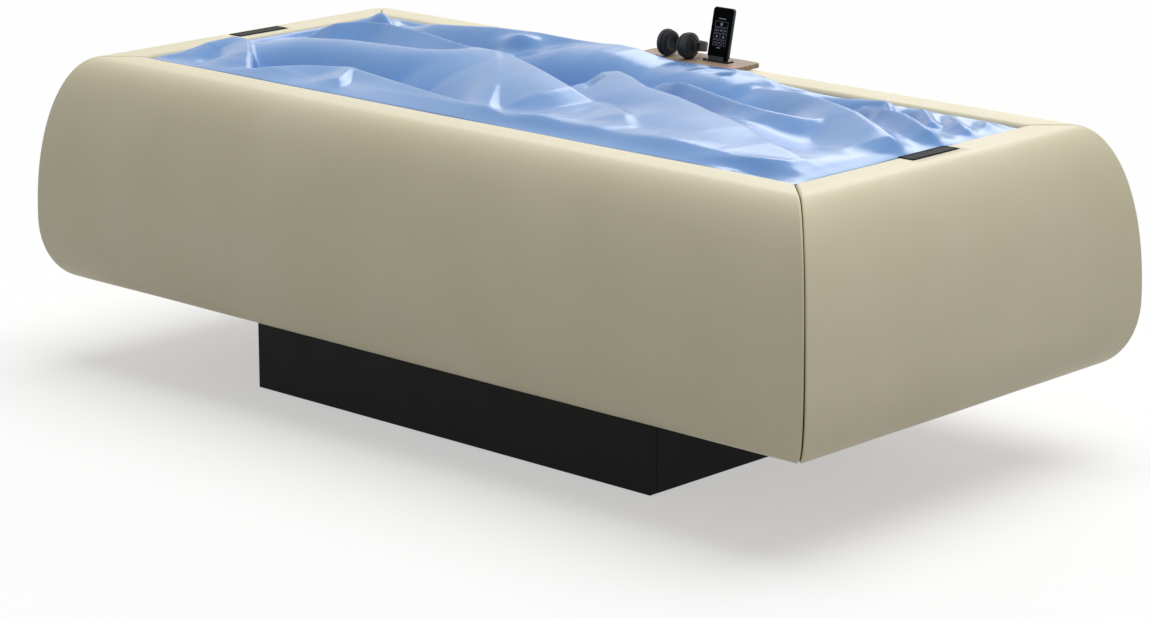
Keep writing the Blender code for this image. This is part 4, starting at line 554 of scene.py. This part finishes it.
def keep_piece(bm, name, slot, body, replaced=(), material=None):
    """Make an object of a bmesh drawn in place, give it its finish and set what it rides on."""
    mesh = bpy.data.meshes.new(name)
    bm.to_mesh(mesh)
    bm.free()
    mesh.shade_smooth()
    mesh.set_sharp_from_angle(angle=SHARP_ANGLE)
    mesh.materials.append(material or FINISHES[slot])
    piece = bpy.data.objects.new(name, mesh)
    bpy.context.scene.collection.objects.link(piece)
    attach(piece, body)
    if replaced:
        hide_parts(*replaced)
    return piece


def finish_solids():
    """Give every CAD piece the finish of its material slot."""
    for part in frame["record"]["subparts"]:
        mesh = NODES[part["node"]].data
        mesh.materials.clear()
        mesh.materials.append(FINISHES[part["material_slot"]])
    NODES["player_dock"].data.materials[0] = DOCK_PLASTIC


def draw_line(bm, points, closed=False):
    """Points joined into a line; returns the layer that numbers them, the points and their edges."""
    order = bm.verts.layers.int.new("order")
    row = [bm.verts.new(point) for point in points]
    for k, vert in enumerate(row):
        vert[order] = k
    following = row[1:] + row[:1] if closed else row[1:]
    edges = [bm.edges.new(pair) for pair in zip(row, following)]
    return order, row, edges


def draw_out(bm, order, edges, points):
    """Extrude a line's edges to a new line of points; returns the new points and edges."""
    made = bmesh.ops.extrude_edge_only(bm, edges=edges)["geom"]
    row = [item for item in made if isinstance(item, BMVert)]
    for vert in row:
        vert.co = points[vert[order]]
    return row, [item for item in made if isinstance(item, BMEdge)]


def side_point(side, along, outward, z):
    """A point on one side of the bed, from its place along the side and out from the opening."""
    x, y = HALF_LENGTH + outward, HALF_WIDTH + outward
    return {"front": (along, -y, z), "rear": (-along, y, z),
            "foot": (x, along, z), "head": (-x, -along, z)}[side]


def shell_outline():
    """The panel's outer curve: up the opening's lip, over the rim, round the bulge and under."""
    edge_steps, upper_steps, lower_steps = 8, 28, 18
    points = [(0.0, RIM_HEIGHT - COVER_LIP)]
    for k in range(edge_steps + 1):
        angle = math.pi / 2 * k / edge_steps
        points.append((RIM_EDGE_RADIUS * (1 - math.cos(angle)),
                       RIM_HEIGHT - RIM_EDGE_RADIUS * (1 - math.sin(angle))))
    for k in range(upper_steps + 1):
        t = math.pi / 2 * k / upper_steps
        points.append((RIM_FLAT + (SHELL_REACH - RIM_FLAT) * math.sin(t) ** (2 / UPPER_FULLNESS),
                       BULGE_HEIGHT
                       + (RIM_HEIGHT - BULGE_HEIGHT) * max(math.cos(t), 0) ** (2 / UPPER_FULLNESS)))
    for k in range(1, lower_steps + 1):
        t = math.pi / 2 * k / lower_steps
        points.append((SHELL_REACH - SHELL_TUCK
                       + SHELL_TUCK * max(math.cos(t), 0) ** (2 / LOWER_FULLNESS),
                       BULGE_HEIGHT
                       - (BULGE_HEIGHT - SHELL_BOTTOM) * math.sin(t) ** (2 / LOWER_FULLNESS)))
    return points


def inset_outline(points, depth):
    """Move an outline to its inner side."""
    moved = []
    last = len(points) - 1
    for k, (r, z) in enumerate(points):
        before, after = points[max(k - 1, 0)], points[min(k + 1, last)]
        tangent = Vector((after[0] - before[0], after[1] - before[1])).normalized()
        moved.append((r + depth * tangent.y, z - depth * tangent.x))
    return moved


def panel_rows():
    """Rows across a panel from its mitred end: distance from the mitre and depth under the face."""
    round_steps = 6
    rows = []
    for k in range(round_steps + 1):
        angle = math.pi / 2 * k / round_steps
        rows.append((SEAM_ROUND * (1 - math.cos(angle)), SEAM_ROUND * (1 - math.sin(angle))))
    return rows + [(SEAM_ROUND * share, 0.0) for share in SEAM_ROWS]


def make_cover(side):
    """One padded panel: its section run from a mitred end to the middle, and mirrored."""
    lengthwise = side in ("front", "rear")
    reach = (HALF_LENGTH if lengthwise else HALF_WIDTH) - SEAM_GAP * math.sqrt(0.5)
    outline = shell_outline()
    sections = []
    for set_in, depth in panel_rows():
        section = inset_outline(outline, depth)
        sections.append([side_point(side, set_in - reach - r, r, z) for r, z in section])
    sections.append([side_point(side, 0.0, r, z) for r, z in outline])
    bm = bmesh.new()
    order, row, edges = draw_line(bm, sections[0])
    for section in sections[1:]:
        before = set(row)
        row, edges = draw_out(bm, order, edges, section)
    long_edges = [edge for vert in row for edge in vert.link_edges if edge.other_vert(vert) in before]
    bmesh.ops.subdivide_edges(bm, edges=long_edges, cuts=LONG_CUTS if lengthwise else SHORT_CUTS,
                              use_grid_fill=True)
    bmesh.ops.mirror(bm, geom=bm.verts[:] + bm.edges[:] + bm.faces[:], merge_dist=MERGE,
                     axis="X" if lengthwise else "Y")
    bmesh.ops.remove_doubles(bm, verts=bm.verts, dist=MERGE)
    if not lengthwise:
        cut_pocket(bm, side)
    bmesh.ops.recalc_face_normals(bm, faces=bm.faces)
    top = max(bm.faces, key=lambda face: face.calc_center_median().z)
    if top.normal.z < 0:
        bmesh.ops.reverse_faces(bm, faces=bm.faces)
    bm.normal_update()
    for vert in bm.verts:
        swell = noise.noise(vert.co * RIPPLES_PER_METRE)
        vert.co += vert.normal * PADDING_RIPPLE * swell
    cover = keep_piece(bm, side + "_panel", "leatherette", "root", [side + "_cover"])
    wall = cover.modifiers.new("cover_thickness", "SOLIDIFY")
    wall.thickness = COVER_THICKNESS
    wall.offset = -1.0


def cut_pocket(bm, side):
    """Open the panel's top for its touch strip."""
    low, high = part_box(side + "_touch_glass")
    low = low - Vector((POCKET_GAP,) * 3)
    high = high + Vector((POCKET_GAP,) * 3)
    for point, normal in ((low, (1, 0, 0)), (high, (1, 0, 0)), (low, (0, 1, 0)), (high, (0, 1, 0))):
        bmesh.ops.bisect_plane(bm, geom=bm.verts[:] + bm.edges[:] + bm.faces[:], plane_co=point,
                               plane_no=normal, dist=FINE_MERGE)
    inside = []
    for face in bm.faces:
        middle = face.calc_center_median()
        on_top = middle.z > RIM_HEIGHT - POCKET_DEPTH
        if on_top and low.x < middle.x < high.x and low.y < middle.y < high.y:
            inside.append(face)
    bmesh.ops.delete(bm, geom=inside, context="FACES")


def crest_fall(x, y, crest):
    """Distance to a crest line, how far to its left or right that lies, and the crest's height there."""
    nearest = np.full(x.shape, np.inf)
    height = np.zeros(x.shape)
    side = np.zeros(x.shape)
    for (x0, y0, h0), (x1, y1, h1) in zip(crest, crest[1:]):
        run_x, run_y = x1 - x0, y1 - y0
        length = math.hypot(run_x, run_y)
        share = np.clip(((x - x0) * run_x + (y - y0) * run_y) / length ** 2, 0, 1)
        away = np.hypot(x - x0 - share * run_x, y - y0 - share * run_y)
        left = (run_x * (y - y0) - run_y * (x - x0)) / length
        closer = away < nearest
        height = np.where(closer, h0 + (h1 - h0) * share, height)
        side = np.where(closer, left / np.maximum(away, 1e-9), side)
        nearest = np.minimum(nearest, away)
    return nearest, np.clip(side, -1, 1), height


def ease(share):
    """A soft step from 0 to 1."""
    share = np.clip(share, 0, 1)
    return share * share * (3 - 2 * share)


def fold_height(x, y, rim_distance):
    """The membrane's height over the rim: swelling fold fronts, drawn-in backs, and slack valleys."""
    depth = ease(rim_distance / SLACK_SPREAD)
    footward = ease((x - FOOT_SLACK_SLANT * y - FOOT_SLACK_START) / FOOT_SLACK_RUN)
    deepest = DEEP_SLACK + (FOOT_SLACK - DEEP_SLACK) * footward
    slack = -EDGE_SLACK - (deepest - EDGE_SLACK) * depth
    slack += SLACK_SWELL * depth * np.array([noise.noise((a / SWELL_SIZE, b / SWELL_SIZE, 0.0))
                                             for a, b in zip(x, y)])
    total = np.ones(x.shape)
    for front, full, back, crest in FOLDS:
        away, side, height = crest_fall(x, y, crest)
        behind = (1 + side) / 2
        width = front + (back - front) * behind
        fullness = full + (BACK_FULLNESS - full) * behind
        rise = (1 - (away / width) ** fullness) * np.maximum(height - slack, 0)
        total += np.exp(rise / FOLD_MERGE)
    height = slack + FOLD_MERGE * np.log(total)
    for at_x, at_y, billow, reach_x, reach_y in BILLOWS:
        height += billow * np.exp(-((x - at_x) / reach_x) ** 2 - ((y - at_y) / reach_y) ** 2)
    return height


def settled(x, y, heights):
    """Bring the sheet down to the rims where it comes near them."""
    for distance, ramp, touch in ((HALF_LENGTH - x, FOOT_RAMP, NEAR_TOUCH),
                                  (y + HALF_WIDTH, NEAR_RAMP, NEAR_TOUCH),
                                  (x + HALF_LENGTH, FAR_RAMP, FAR_TOUCH),
                                  (HALF_WIDTH - y, FAR_RAMP, FAR_TOUCH)):
        near = np.clip(1 - distance / ramp, 0, 1) ** RAMP_POWER
        heights = heights - np.maximum(heights + touch, 0) * near
    return heights


def smoothed(heights):
    """Average each height with its neighbours, to round the crests."""
    rows = heights.copy()
    rows[1:-1] = (heights[:-2] + 2 * heights[1:-1] + heights[2:]) / 4
    both = rows.copy()
    both[:, 1:-1] = (rows[:, :-2] + 2 * rows[:, 1:-1] + rows[:, 2:]) / 4
    return both


def make_membrane():
    """The loose sheet: a grid raised to its folds in the opening, with its hem held below the rim."""
    half_x, half_y = HALF_LENGTH + HEM_REACH, HALF_WIDTH + HEM_REACH
    bm = bmesh.new()
    bmesh.ops.create_grid(bm, x_segments=SHEET_CELLS[0], y_segments=SHEET_CELLS[1], size=1.0,
                          matrix=Matrix.Diagonal((half_x, half_y, 1.0, 1.0)))
    verts = sorted(bm.verts, key=lambda vert: (round(vert.co.y, 5), vert.co.x))
    places = np.array([vert.co for vert in verts])
    x, y = places[:, 0], places[:, 1]
    inside = np.minimum(HALF_LENGTH - np.abs(x), HALF_WIDTH - np.abs(y)) - EDGE_CLEAR
    heights = fold_height(x, y, inside).reshape(SHEET_CELLS[1] + 1, SHEET_CELLS[0] + 1)
    for _ in range(CREST_PASSES):
        heights = smoothed(heights)
    heights = settled(x, y, heights.ravel())
    lift = np.clip(inside / EDGE_RISE, 0, 1)
    lift = np.sqrt(lift * (2 - lift))
    heights = HEM_TOP + (RIM_HEIGHT + heights - HEM_TOP) * lift
    for vert, z in zip(verts, heights):
        vert.co.z = z
    sheet = keep_piece(bm, "membrane_sheet", "membrane_film", "root", ["membrane"])
    wall = sheet.modifiers.new("film_thickness", "SOLIDIFY")
    wall.thickness = SHEET_THICKNESS
    wall.offset = -1.0


def spun(points, middle, axis):
    """A line of points from the axis out and back to it, turned into a closed body."""
    bm = bmesh.new()
    row = [bm.verts.new(point) for point in points]
    edges = [bm.edges.new(pair) for pair in zip(row, row[1:])]
    bmesh.ops.spin(bm, geom=row + edges, cent=middle, axis=axis, angle=2 * math.pi,
                   steps=TURN_STEPS, use_merge=True)
    bmesh.ops.remove_doubles(bm, verts=bm.verts, dist=FINE_MERGE)
    bmesh.ops.recalc_face_normals(bm, faces=bm.faces)
    return bm


def ear_spun(end, profile):
    """A profile of (radius, distance out from the headphones' middle) spun about the ear axis."""
    points = [PHONES_MIDDLE + Vector((end * out, 0.0, radius)) for radius, out in profile]
    return spun(points, PHONES_MIDDLE, (1, 0, 0))


def arc(start, end, steps=10):
    """A quarter ellipse of (radius, out) that leaves its start along the radius and ends along the depth."""
    turns = [math.pi / 2 * k / steps for k in range(steps + 1)]
    return [(start[0] + (end[0] - start[0]) * math.sin(turn),
             start[1] + (end[1] - start[1]) * (1 - math.cos(turn))) for turn in turns]


def cushion_profile():
    """A soft ring round a dished middle, drawn in to a narrower seat."""
    hole = CUSHION_RADIUS * CUSHION_HOLE
    crown = (hole + CUSHION_RADIUS) / 2
    waist = (CUSHION_RADIUS, PAD_FACE + CUSHION_WAIST * CUSHION_DEPTH)
    inner = arc((crown, PAD_FACE), (hole, PAD_FACE + CUSHION_DISH))
    tuck = arc((CUSHION_RADIUS * CUSHION_SEAT, PAD_SEAT), waist)
    return ([(0.0, PAD_FACE + CUSHION_DISH)] + inner[::-1] + arc((crown, PAD_FACE), waist)[1:]
            + tuck[::-1][1:] + [(0.0, PAD_SEAT)])


def cup_profile():
    """A shallow moulded bowl with a parting line round its side and two grooves on its face."""
    base = PAD_SEAT + CUP_GAP
    face = base + CUP_DEPTH
    bottom = CUP_RADIUS - CUP_GROOVE
    foot = (CUP_RADIUS, base + CUP_DEPTH * CUP_FOOT)
    shoulder = (CUP_RADIUS, base + CUP_DEPTH * CUP_SHOULDER)
    profile = [(0.0, base)] + arc((CUP_RADIUS * CUP_BASE, base), foot)
    for share, radius in zip(CUP_PARTING, (CUP_RADIUS, bottom, bottom, CUP_RADIUS)):
        profile.append((radius, base + CUP_DEPTH * share))
    profile += arc((CUP_RADIUS * CUP_FLAT, face), shoulder)[::-1]
    for share in CUP_RINGS:
        profile += [(CUP_RADIUS * (share + CUP_RING_HALF), face), (CUP_RADIUS * share, face - CUP_GROOVE),
                    (CUP_RADIUS * (share - CUP_RING_HALF), face)]
    return profile + [(0.0, face)]


def add_hinge(bm, end):
    """The cup's hinge barrel, on a short neck from the middle of its face."""
    pivot = PHONES_MIDDLE + Vector((end * (PAD_SEAT + CUP_GAP + CUP_DEPTH + HINGE_RADIUS), 0.0, 0.0))
    made = bmesh.ops.create_cone(bm, cap_ends=True, segments=HINGE_SIDES, radius1=HINGE_RADIUS,
                                 radius2=HINGE_RADIUS, depth=HINGE_BARREL,
                                 matrix=Matrix.Translation(pivot))
    edges = {edge for vert in made["verts"] for edge in vert.link_edges}
    rims = [edge for edge in edges if edge.calc_face_angle() > HINGE_RIM_ANGLE]
    bmesh.ops.bevel(bm, geom=rims, offset=HINGE_EDGE, offset_type="OFFSET", affect="EDGES", segments=2,
                    profile=0.5, material=-1)
    neck = Matrix.Translation(pivot - Vector((end * NECK_LENGTH / 2, 0.0, 0.0)))
    bmesh.ops.create_cube(bm, size=1.0,
                          matrix=neck @ Matrix.Diagonal((NECK_LENGTH, NECK_WIDTH, NECK_HEIGHT, 1.0)))


def band_place(angle, leg, out, up):
    """A point on the drooping headband: round its arch or along its leg, out from its face, and up."""
    across = (BAND_FACE + out) * math.cos(angle)
    along = BAND_START - leg + (BAND_ARCH + out) * math.sin(angle)
    return PHONES_MIDDLE + Vector((across,
                                   along * math.cos(BAND_DROOP) + up * math.sin(BAND_DROOP),
                                   up * math.cos(BAND_DROOP) - along * math.sin(BAND_DROOP)))


def rounded_section(inner, outer, half, steps=24):
    """A flat section with round edges, as (out, up) points."""
    middle, reach = (inner + outer) / 2, (outer - inner) / 2
    points = []
    for k in range(steps):
        turn = 2 * math.pi * (k + 0.5) / steps
        out = math.copysign(abs(math.cos(turn)) ** BAND_OUT_POWER, math.cos(turn))
        up = math.copysign(abs(math.sin(turn)) ** BAND_UP_POWER, math.sin(turn))
        points.append((middle + reach * out, half * up))
    return points


def swept(rings):
    """A closed body drawn out through rings of points, with its ends filled."""
    bm = bmesh.new()
    order, _, edges = draw_line(bm, rings[0], closed=True)
    bmesh.ops.contextual_create(bm, geom=edges)
    for ring in rings[1:]:
        _, edges = draw_out(bm, order, edges, ring)
    bmesh.ops.contextual_create(bm, geom=edges)
    bmesh.ops.recalc_face_normals(bm, faces=bm.faces)
    return bm


def make_headband():
    """The drooping strip over both ears, and the pad inside its arch."""
    half = BAND_HEIGHT / 2
    stations = [(math.pi * k / BAND_STEPS, 0.0) for k in range(BAND_STEPS + 1)]
    stations = [(0.0, BAND_LEG)] + stations + [(math.pi, BAND_LEG)]
    section = rounded_section(0.0, BAND_THICKNESS, half)
    rings = [[band_place(angle, leg, out, up) for out, up in section] for angle, leg in stations]
    keep_piece(swept(rings), "headband_strip", "black_plastic", "headphones", ["headband"])
    rings = []
    for k in range(BAND_STEPS + 1):
        share = k / BAND_STEPS
        swell = BAND_PAD_END + (1 - BAND_PAD_END) * math.sin(math.pi * share) ** BAND_PAD_POWER
        angle = math.pi / 2 + BAND_PAD_SPREAD * (share - 0.5)
        section = rounded_section(-BAND_PAD_GAP - BAND_PAD_THICKNESS * swell, -BAND_PAD_GAP,
                                  half * BAND_PAD_WIDTH)
        rings.append([band_place(angle, 0.0, out, up) for out, up in section])
    pad = keep_piece(swept(rings), "headband_cushion", "ear_foam", "headphones", ["headband_pad"])


def make_ear(name, end):
    """One ear's cushion, and its cup with the hinge."""
    cushion = keep_piece(ear_spun(end, cushion_profile()), name + "_ear_pad", "ear_foam", name + "_ear",
                         [name + "_cushion"])
    cup = ear_spun(end, cup_profile())
    add_hinge(cup, end)
    keep_piece(cup, name + "_ear_cup", "black_plastic", name + "_ear", [name + "_cup"])


def print_bar(bm, place, across, up, width, height):
    """A flat bar of ink, at a spot across and up from a place on the glass."""
    spot = place @ Matrix.Translation((across, up, 0.0))
    bmesh.ops.create_cube(bm, size=1.0, matrix=spot @ Matrix.Diagonal((width, height, PRINT_THICKNESS, 1.0)))


def print_disc(bm, place, radius):
    """A flat dot of ink on a place on the glass."""
    bmesh.ops.create_cone(bm, cap_ends=True, segments=DISC_CORNERS, radius1=radius, radius2=radius,
                          depth=PRINT_THICKNESS, matrix=place)


def print_ring(bm, place, across, radius, line):
    """Two circles bridged to a flat ring, and raised off the glass."""
    spot = place @ Matrix.Translation((across, 0.0, -PRINT_THICKNESS / 2))
    edges = set()
    for size in (radius, radius - line):
        made = bmesh.ops.create_circle(bm, segments=RING_CORNERS, radius=size, matrix=spot)
        edges |= {edge for vert in made["verts"] for edge in vert.link_edges}
    faces = bmesh.ops.bridge_loops(bm, edges=list(edges))["faces"]
    raised = bmesh.ops.extrude_face_region(bm, geom=faces)["geom"]
    bmesh.ops.translate(bm, vec=spot.to_3x3() @ Vector((0.0, 0.0, PRINT_THICKNESS)),
                        verts=[item for item in raised if isinstance(item, BMVert)])


def print_frame(bm, place, width, height, line):
    """Four bars round a rectangle."""
    for end in (-1, 1):
        print_bar(bm, place, 0.0, end * (height - line) / 2, width, line)
        print_bar(bm, place, end * (width - line) / 2, 0.0, line, height - 2 * line)


def make_screen_marks():
    """A plain screen of outlined tiles with a dot in each, between two short bars."""
    low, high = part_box("player_glass")
    across = Vector((1.0, 0.0, 0.0))
    up = Vector((0.0, math.sin(PLAYER_LEAN), math.cos(PLAYER_LEAN)))
    outward = across.cross(up)
    face = (low + high) / 2 + outward * SCREEN_FRONT
    place = Matrix.Translation(face) @ Matrix((across, up, outward)).transposed().to_4x4()
    bm = bmesh.new()
    for row, (columns, dot) in enumerate(TILE_ROWS):
        up_by = TILE_TOP - row * (TILE_HEIGHT + TILE_GAP)
        width = (TILE_SPAN - (columns - 1) * TILE_GAP) / columns
        for k in range(columns):
            across_by = (k - (columns - 1) / 2) * (width + TILE_GAP)
            tile = place @ Matrix.Translation((across_by, up_by, 0.0))
            print_frame(bm, tile, width, TILE_HEIGHT, TILE_LINE)
            print_disc(bm, tile, dot)
    over = TILE_TOP + TILE_HEIGHT
    under = TILE_TOP - len(TILE_ROWS) * TILE_HEIGHT - 2 * TILE_GAP
    for up_by, width in zip((over, under), SCREEN_BARS):
        print_bar(bm, place, 0.0, up_by, width, SCREEN_BAR_HEIGHT)
    bmesh.ops.recalc_face_normals(bm, faces=bm.faces)
    keep_piece(bm, "screen_marks", "dark_glass", "player", material=SCREEN_INK)


def make_strip_marks(end):
    """A dark printed border, and a row of plain key marks along the strip."""
    low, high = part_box(end + "_touch_glass")
    middle = (low + high) / 2
    along, across = Vector((0.0, 1.0, 0.0)), Vector((-1.0, 0.0, 0.0))
    turn = Matrix((along, across, Vector((0.0, 0.0, 1.0)))).transposed().to_4x4()
    place = Matrix.Translation((middle.x, middle.y, high.z)) @ turn
    length, width = high.y - low.y, high.x - low.x
    bm = bmesh.new()
    print_frame(bm, place, length, width, STRIP_BORDER)
    bmesh.ops.recalc_face_normals(bm, faces=bm.faces)
    keep_piece(bm, end + "_strip_border", "dark_glass", "root", material=BORDER_INK)
    bm = bmesh.new()
    middle_key = (STRIP_KEYS - 1) / 2
    for k in range(STRIP_KEYS):
        print_ring(bm, place, KEY_PITCH * (k - middle_key), KEY_RADIUS, KEY_LINE)
    for k in range(STRIP_KEYS - 1):
        print_bar(bm, place, KEY_PITCH * (k + 0.5 - middle_key), 0.0, *TICK_SIZE)
    print_bar(bm, place, 0.0, 0.0, *DASH_SIZE)
    bmesh.ops.recalc_face_normals(bm, faces=bm.faces)
    keep_piece(bm, end + "_strip_marks", "dark_glass", "root", material=STRIP_INK)


def make_bellows(end):
    """Moulded folds between two flat ends, hollow over the air port, kept on a mesh of their own."""
    node = "bellows_" + end
    low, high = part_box(node)
    port_low, port_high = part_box("air_port_" + end)
    middle = (low + high) / 2
    rim = (high.x - low.x) / 2 - BELLOWS_DEPTH
    top, bottom = high.z - BELLOWS_PLATE, low.z + BELLOWS_PLATE
    profile = [(0.0, high.z), (rim, high.z)]
    steps = BELLOWS_STEPS * BELLOWS_FOLDS
    for k in range(steps + 1):
        share = k / steps
        swing = (1 - math.cos(2 * math.pi * BELLOWS_FOLDS * share)) / 2
        profile.append((rim + BELLOWS_DEPTH * swing ** BELLOWS_POWER, top + (bottom - top) * share))
    well = (port_high.x - port_low.x) / 2 + BELLOWS_CLEAR
    roof = port_high.z + BELLOWS_CLEAR
    profile += [(rim, low.z), (well, low.z), (well, roof), (0.0, roof)]
    points = [Vector((middle.x + radius, middle.y, z)) for radius, z in profile]
    piece = keep_piece(spun(points, middle, (0, 0, 1)), node + "_folds", "rubber", "root", [node])
    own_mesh(piece)


# Stage, light and camera

def seen_directly(tree):
    """1 for rays from the camera, from gloss and through glass, and 0 for the rest."""
    path = add_node(tree, "ShaderNodeLightPath")
    rays = add_node(tree, "ShaderNodeMath", {"operation": "MAXIMUM"})
    tree.links.new(path.outputs["Is Camera Ray"], rays.inputs[0])
    tree.links.new(path.outputs["Is Glossy Ray"], rays.inputs[1])
    through = add_node(tree, "ShaderNodeMath", {"operation": "MAXIMUM"})
    tree.links.new(rays.outputs["Value"], through.inputs[0])
    tree.links.new(path.outputs["Is Transmission Ray"], through.inputs[1])
    return through.outputs["Value"]


def make_floor():
    """A plain pale floor, which the camera sees paler than the light that it throws back."""
    bm = bmesh.new()
    bmesh.ops.create_grid(bm, x_segments=4, y_segments=4, size=FLOOR_HALF)
    mesh = bpy.data.meshes.new("floor")
    bm.to_mesh(mesh)
    bm.free()
    floor = bpy.data.objects.new("floor", mesh)
    bpy.context.scene.collection.objects.link(floor)
    material = bpy.data.materials.new("pale_floor")
    material.use_nodes = True
    tree = material.node_tree
    tree.nodes.remove(tree.nodes["Principled BSDF"])
    lit = add_node(tree, "ShaderNodeBsdfDiffuse", {"Color": srgb("#FFFFFF")})
    glow = add_node(tree, "ShaderNodeEmission", {"Strength": 1.0})
    seen = add_node(tree, "ShaderNodeMixShader", {"Fac": FLOOR_GLOW})
    tree.links.new(lit.outputs["BSDF"], seen.inputs[1])
    tree.links.new(glow.outputs["Emission"], seen.inputs[2])
    unseen = add_node(tree, "ShaderNodeBsdfDiffuse", {"Color": srgb(FLOOR_BOUNCE)})
    mix = add_node(tree, "ShaderNodeMixShader", Fac=seen_directly(tree))
    tree.links.new(unseen.outputs["BSDF"], mix.inputs[1])
    tree.links.new(seen.outputs["Shader"], mix.inputs[2])
    tree.links.new(mix.outputs["Shader"], tree.nodes["Material Output"].inputs["Surface"])
    mesh.materials.append(material)


def make_light():
    """A white studio that the camera and gloss see, a soft fill from it, and the lamps."""
    world = bpy.data.worlds.new("studio")
    bpy.context.scene.world = world
    world.use_nodes = True
    tree = world.node_tree
    background = tree.nodes["Background"]
    background.inputs["Color"].default_value = srgb("#FFFFFF")
    add_node(tree, "ShaderNodeMapRange", {"To Min": SKY_FILL, "To Max": 1.0}, background.inputs["Strength"],
             Value=seen_directly(tree))
    for name, strength, spread, in_gloss, towards in LAMPS:
        lamp = bpy.data.lights.new(name, "SUN")
        lamp.energy = strength
        lamp.angle = math.radians(spread)
        holder = bpy.data.objects.new(name, lamp)
        holder.visible_glossy = in_gloss
        holder.rotation_mode = "QUATERNION"
        holder.rotation_quaternion = Vector(towards).to_track_quat("Z", "Y")
        bpy.context.scene.collection.objects.link(holder)


def make_camera():
    """The photograph's view."""
    data = bpy.data.cameras.new("camera")
    data.sensor_fit = "HORIZONTAL"
    data.sensor_width = SENSOR_WIDTH
    data.lens = CAMERA_LENS
    camera = bpy.data.objects.new("camera", data)
    back = Vector(CAMERA_BACK).normalized()
    right = Vector((math.cos(CAMERA_TURN), math.sin(CAMERA_TURN), 0.0))
    up = back.cross(right)
    camera.matrix_world = Matrix.Translation(CAMERA_PLACE) @ Matrix((right, up, back)).transposed().to_4x4()
    bpy.context.scene.collection.objects.link(camera)
    bpy.context.scene.camera = camera


for leftover in [item for item in bpy.data.objects if item.type in ("CAMERA", "LIGHT")]:
    bpy.data.objects.remove(leftover)
bpy.context.scene.view_settings.view_transform = "Standard"
make_camera()
make_light()
make_floor()
finish_solids()
for side in ("front", "rear", "head", "foot"):
    make_cover(side)
make_membrane()
make_headband()
for name, end in (("left", -1), ("right", 1)):
    make_ear(name, end)
make_screen_marks()
for end in ("head", "foot"):
    make_strip_marks(end)
    make_bellows(end)
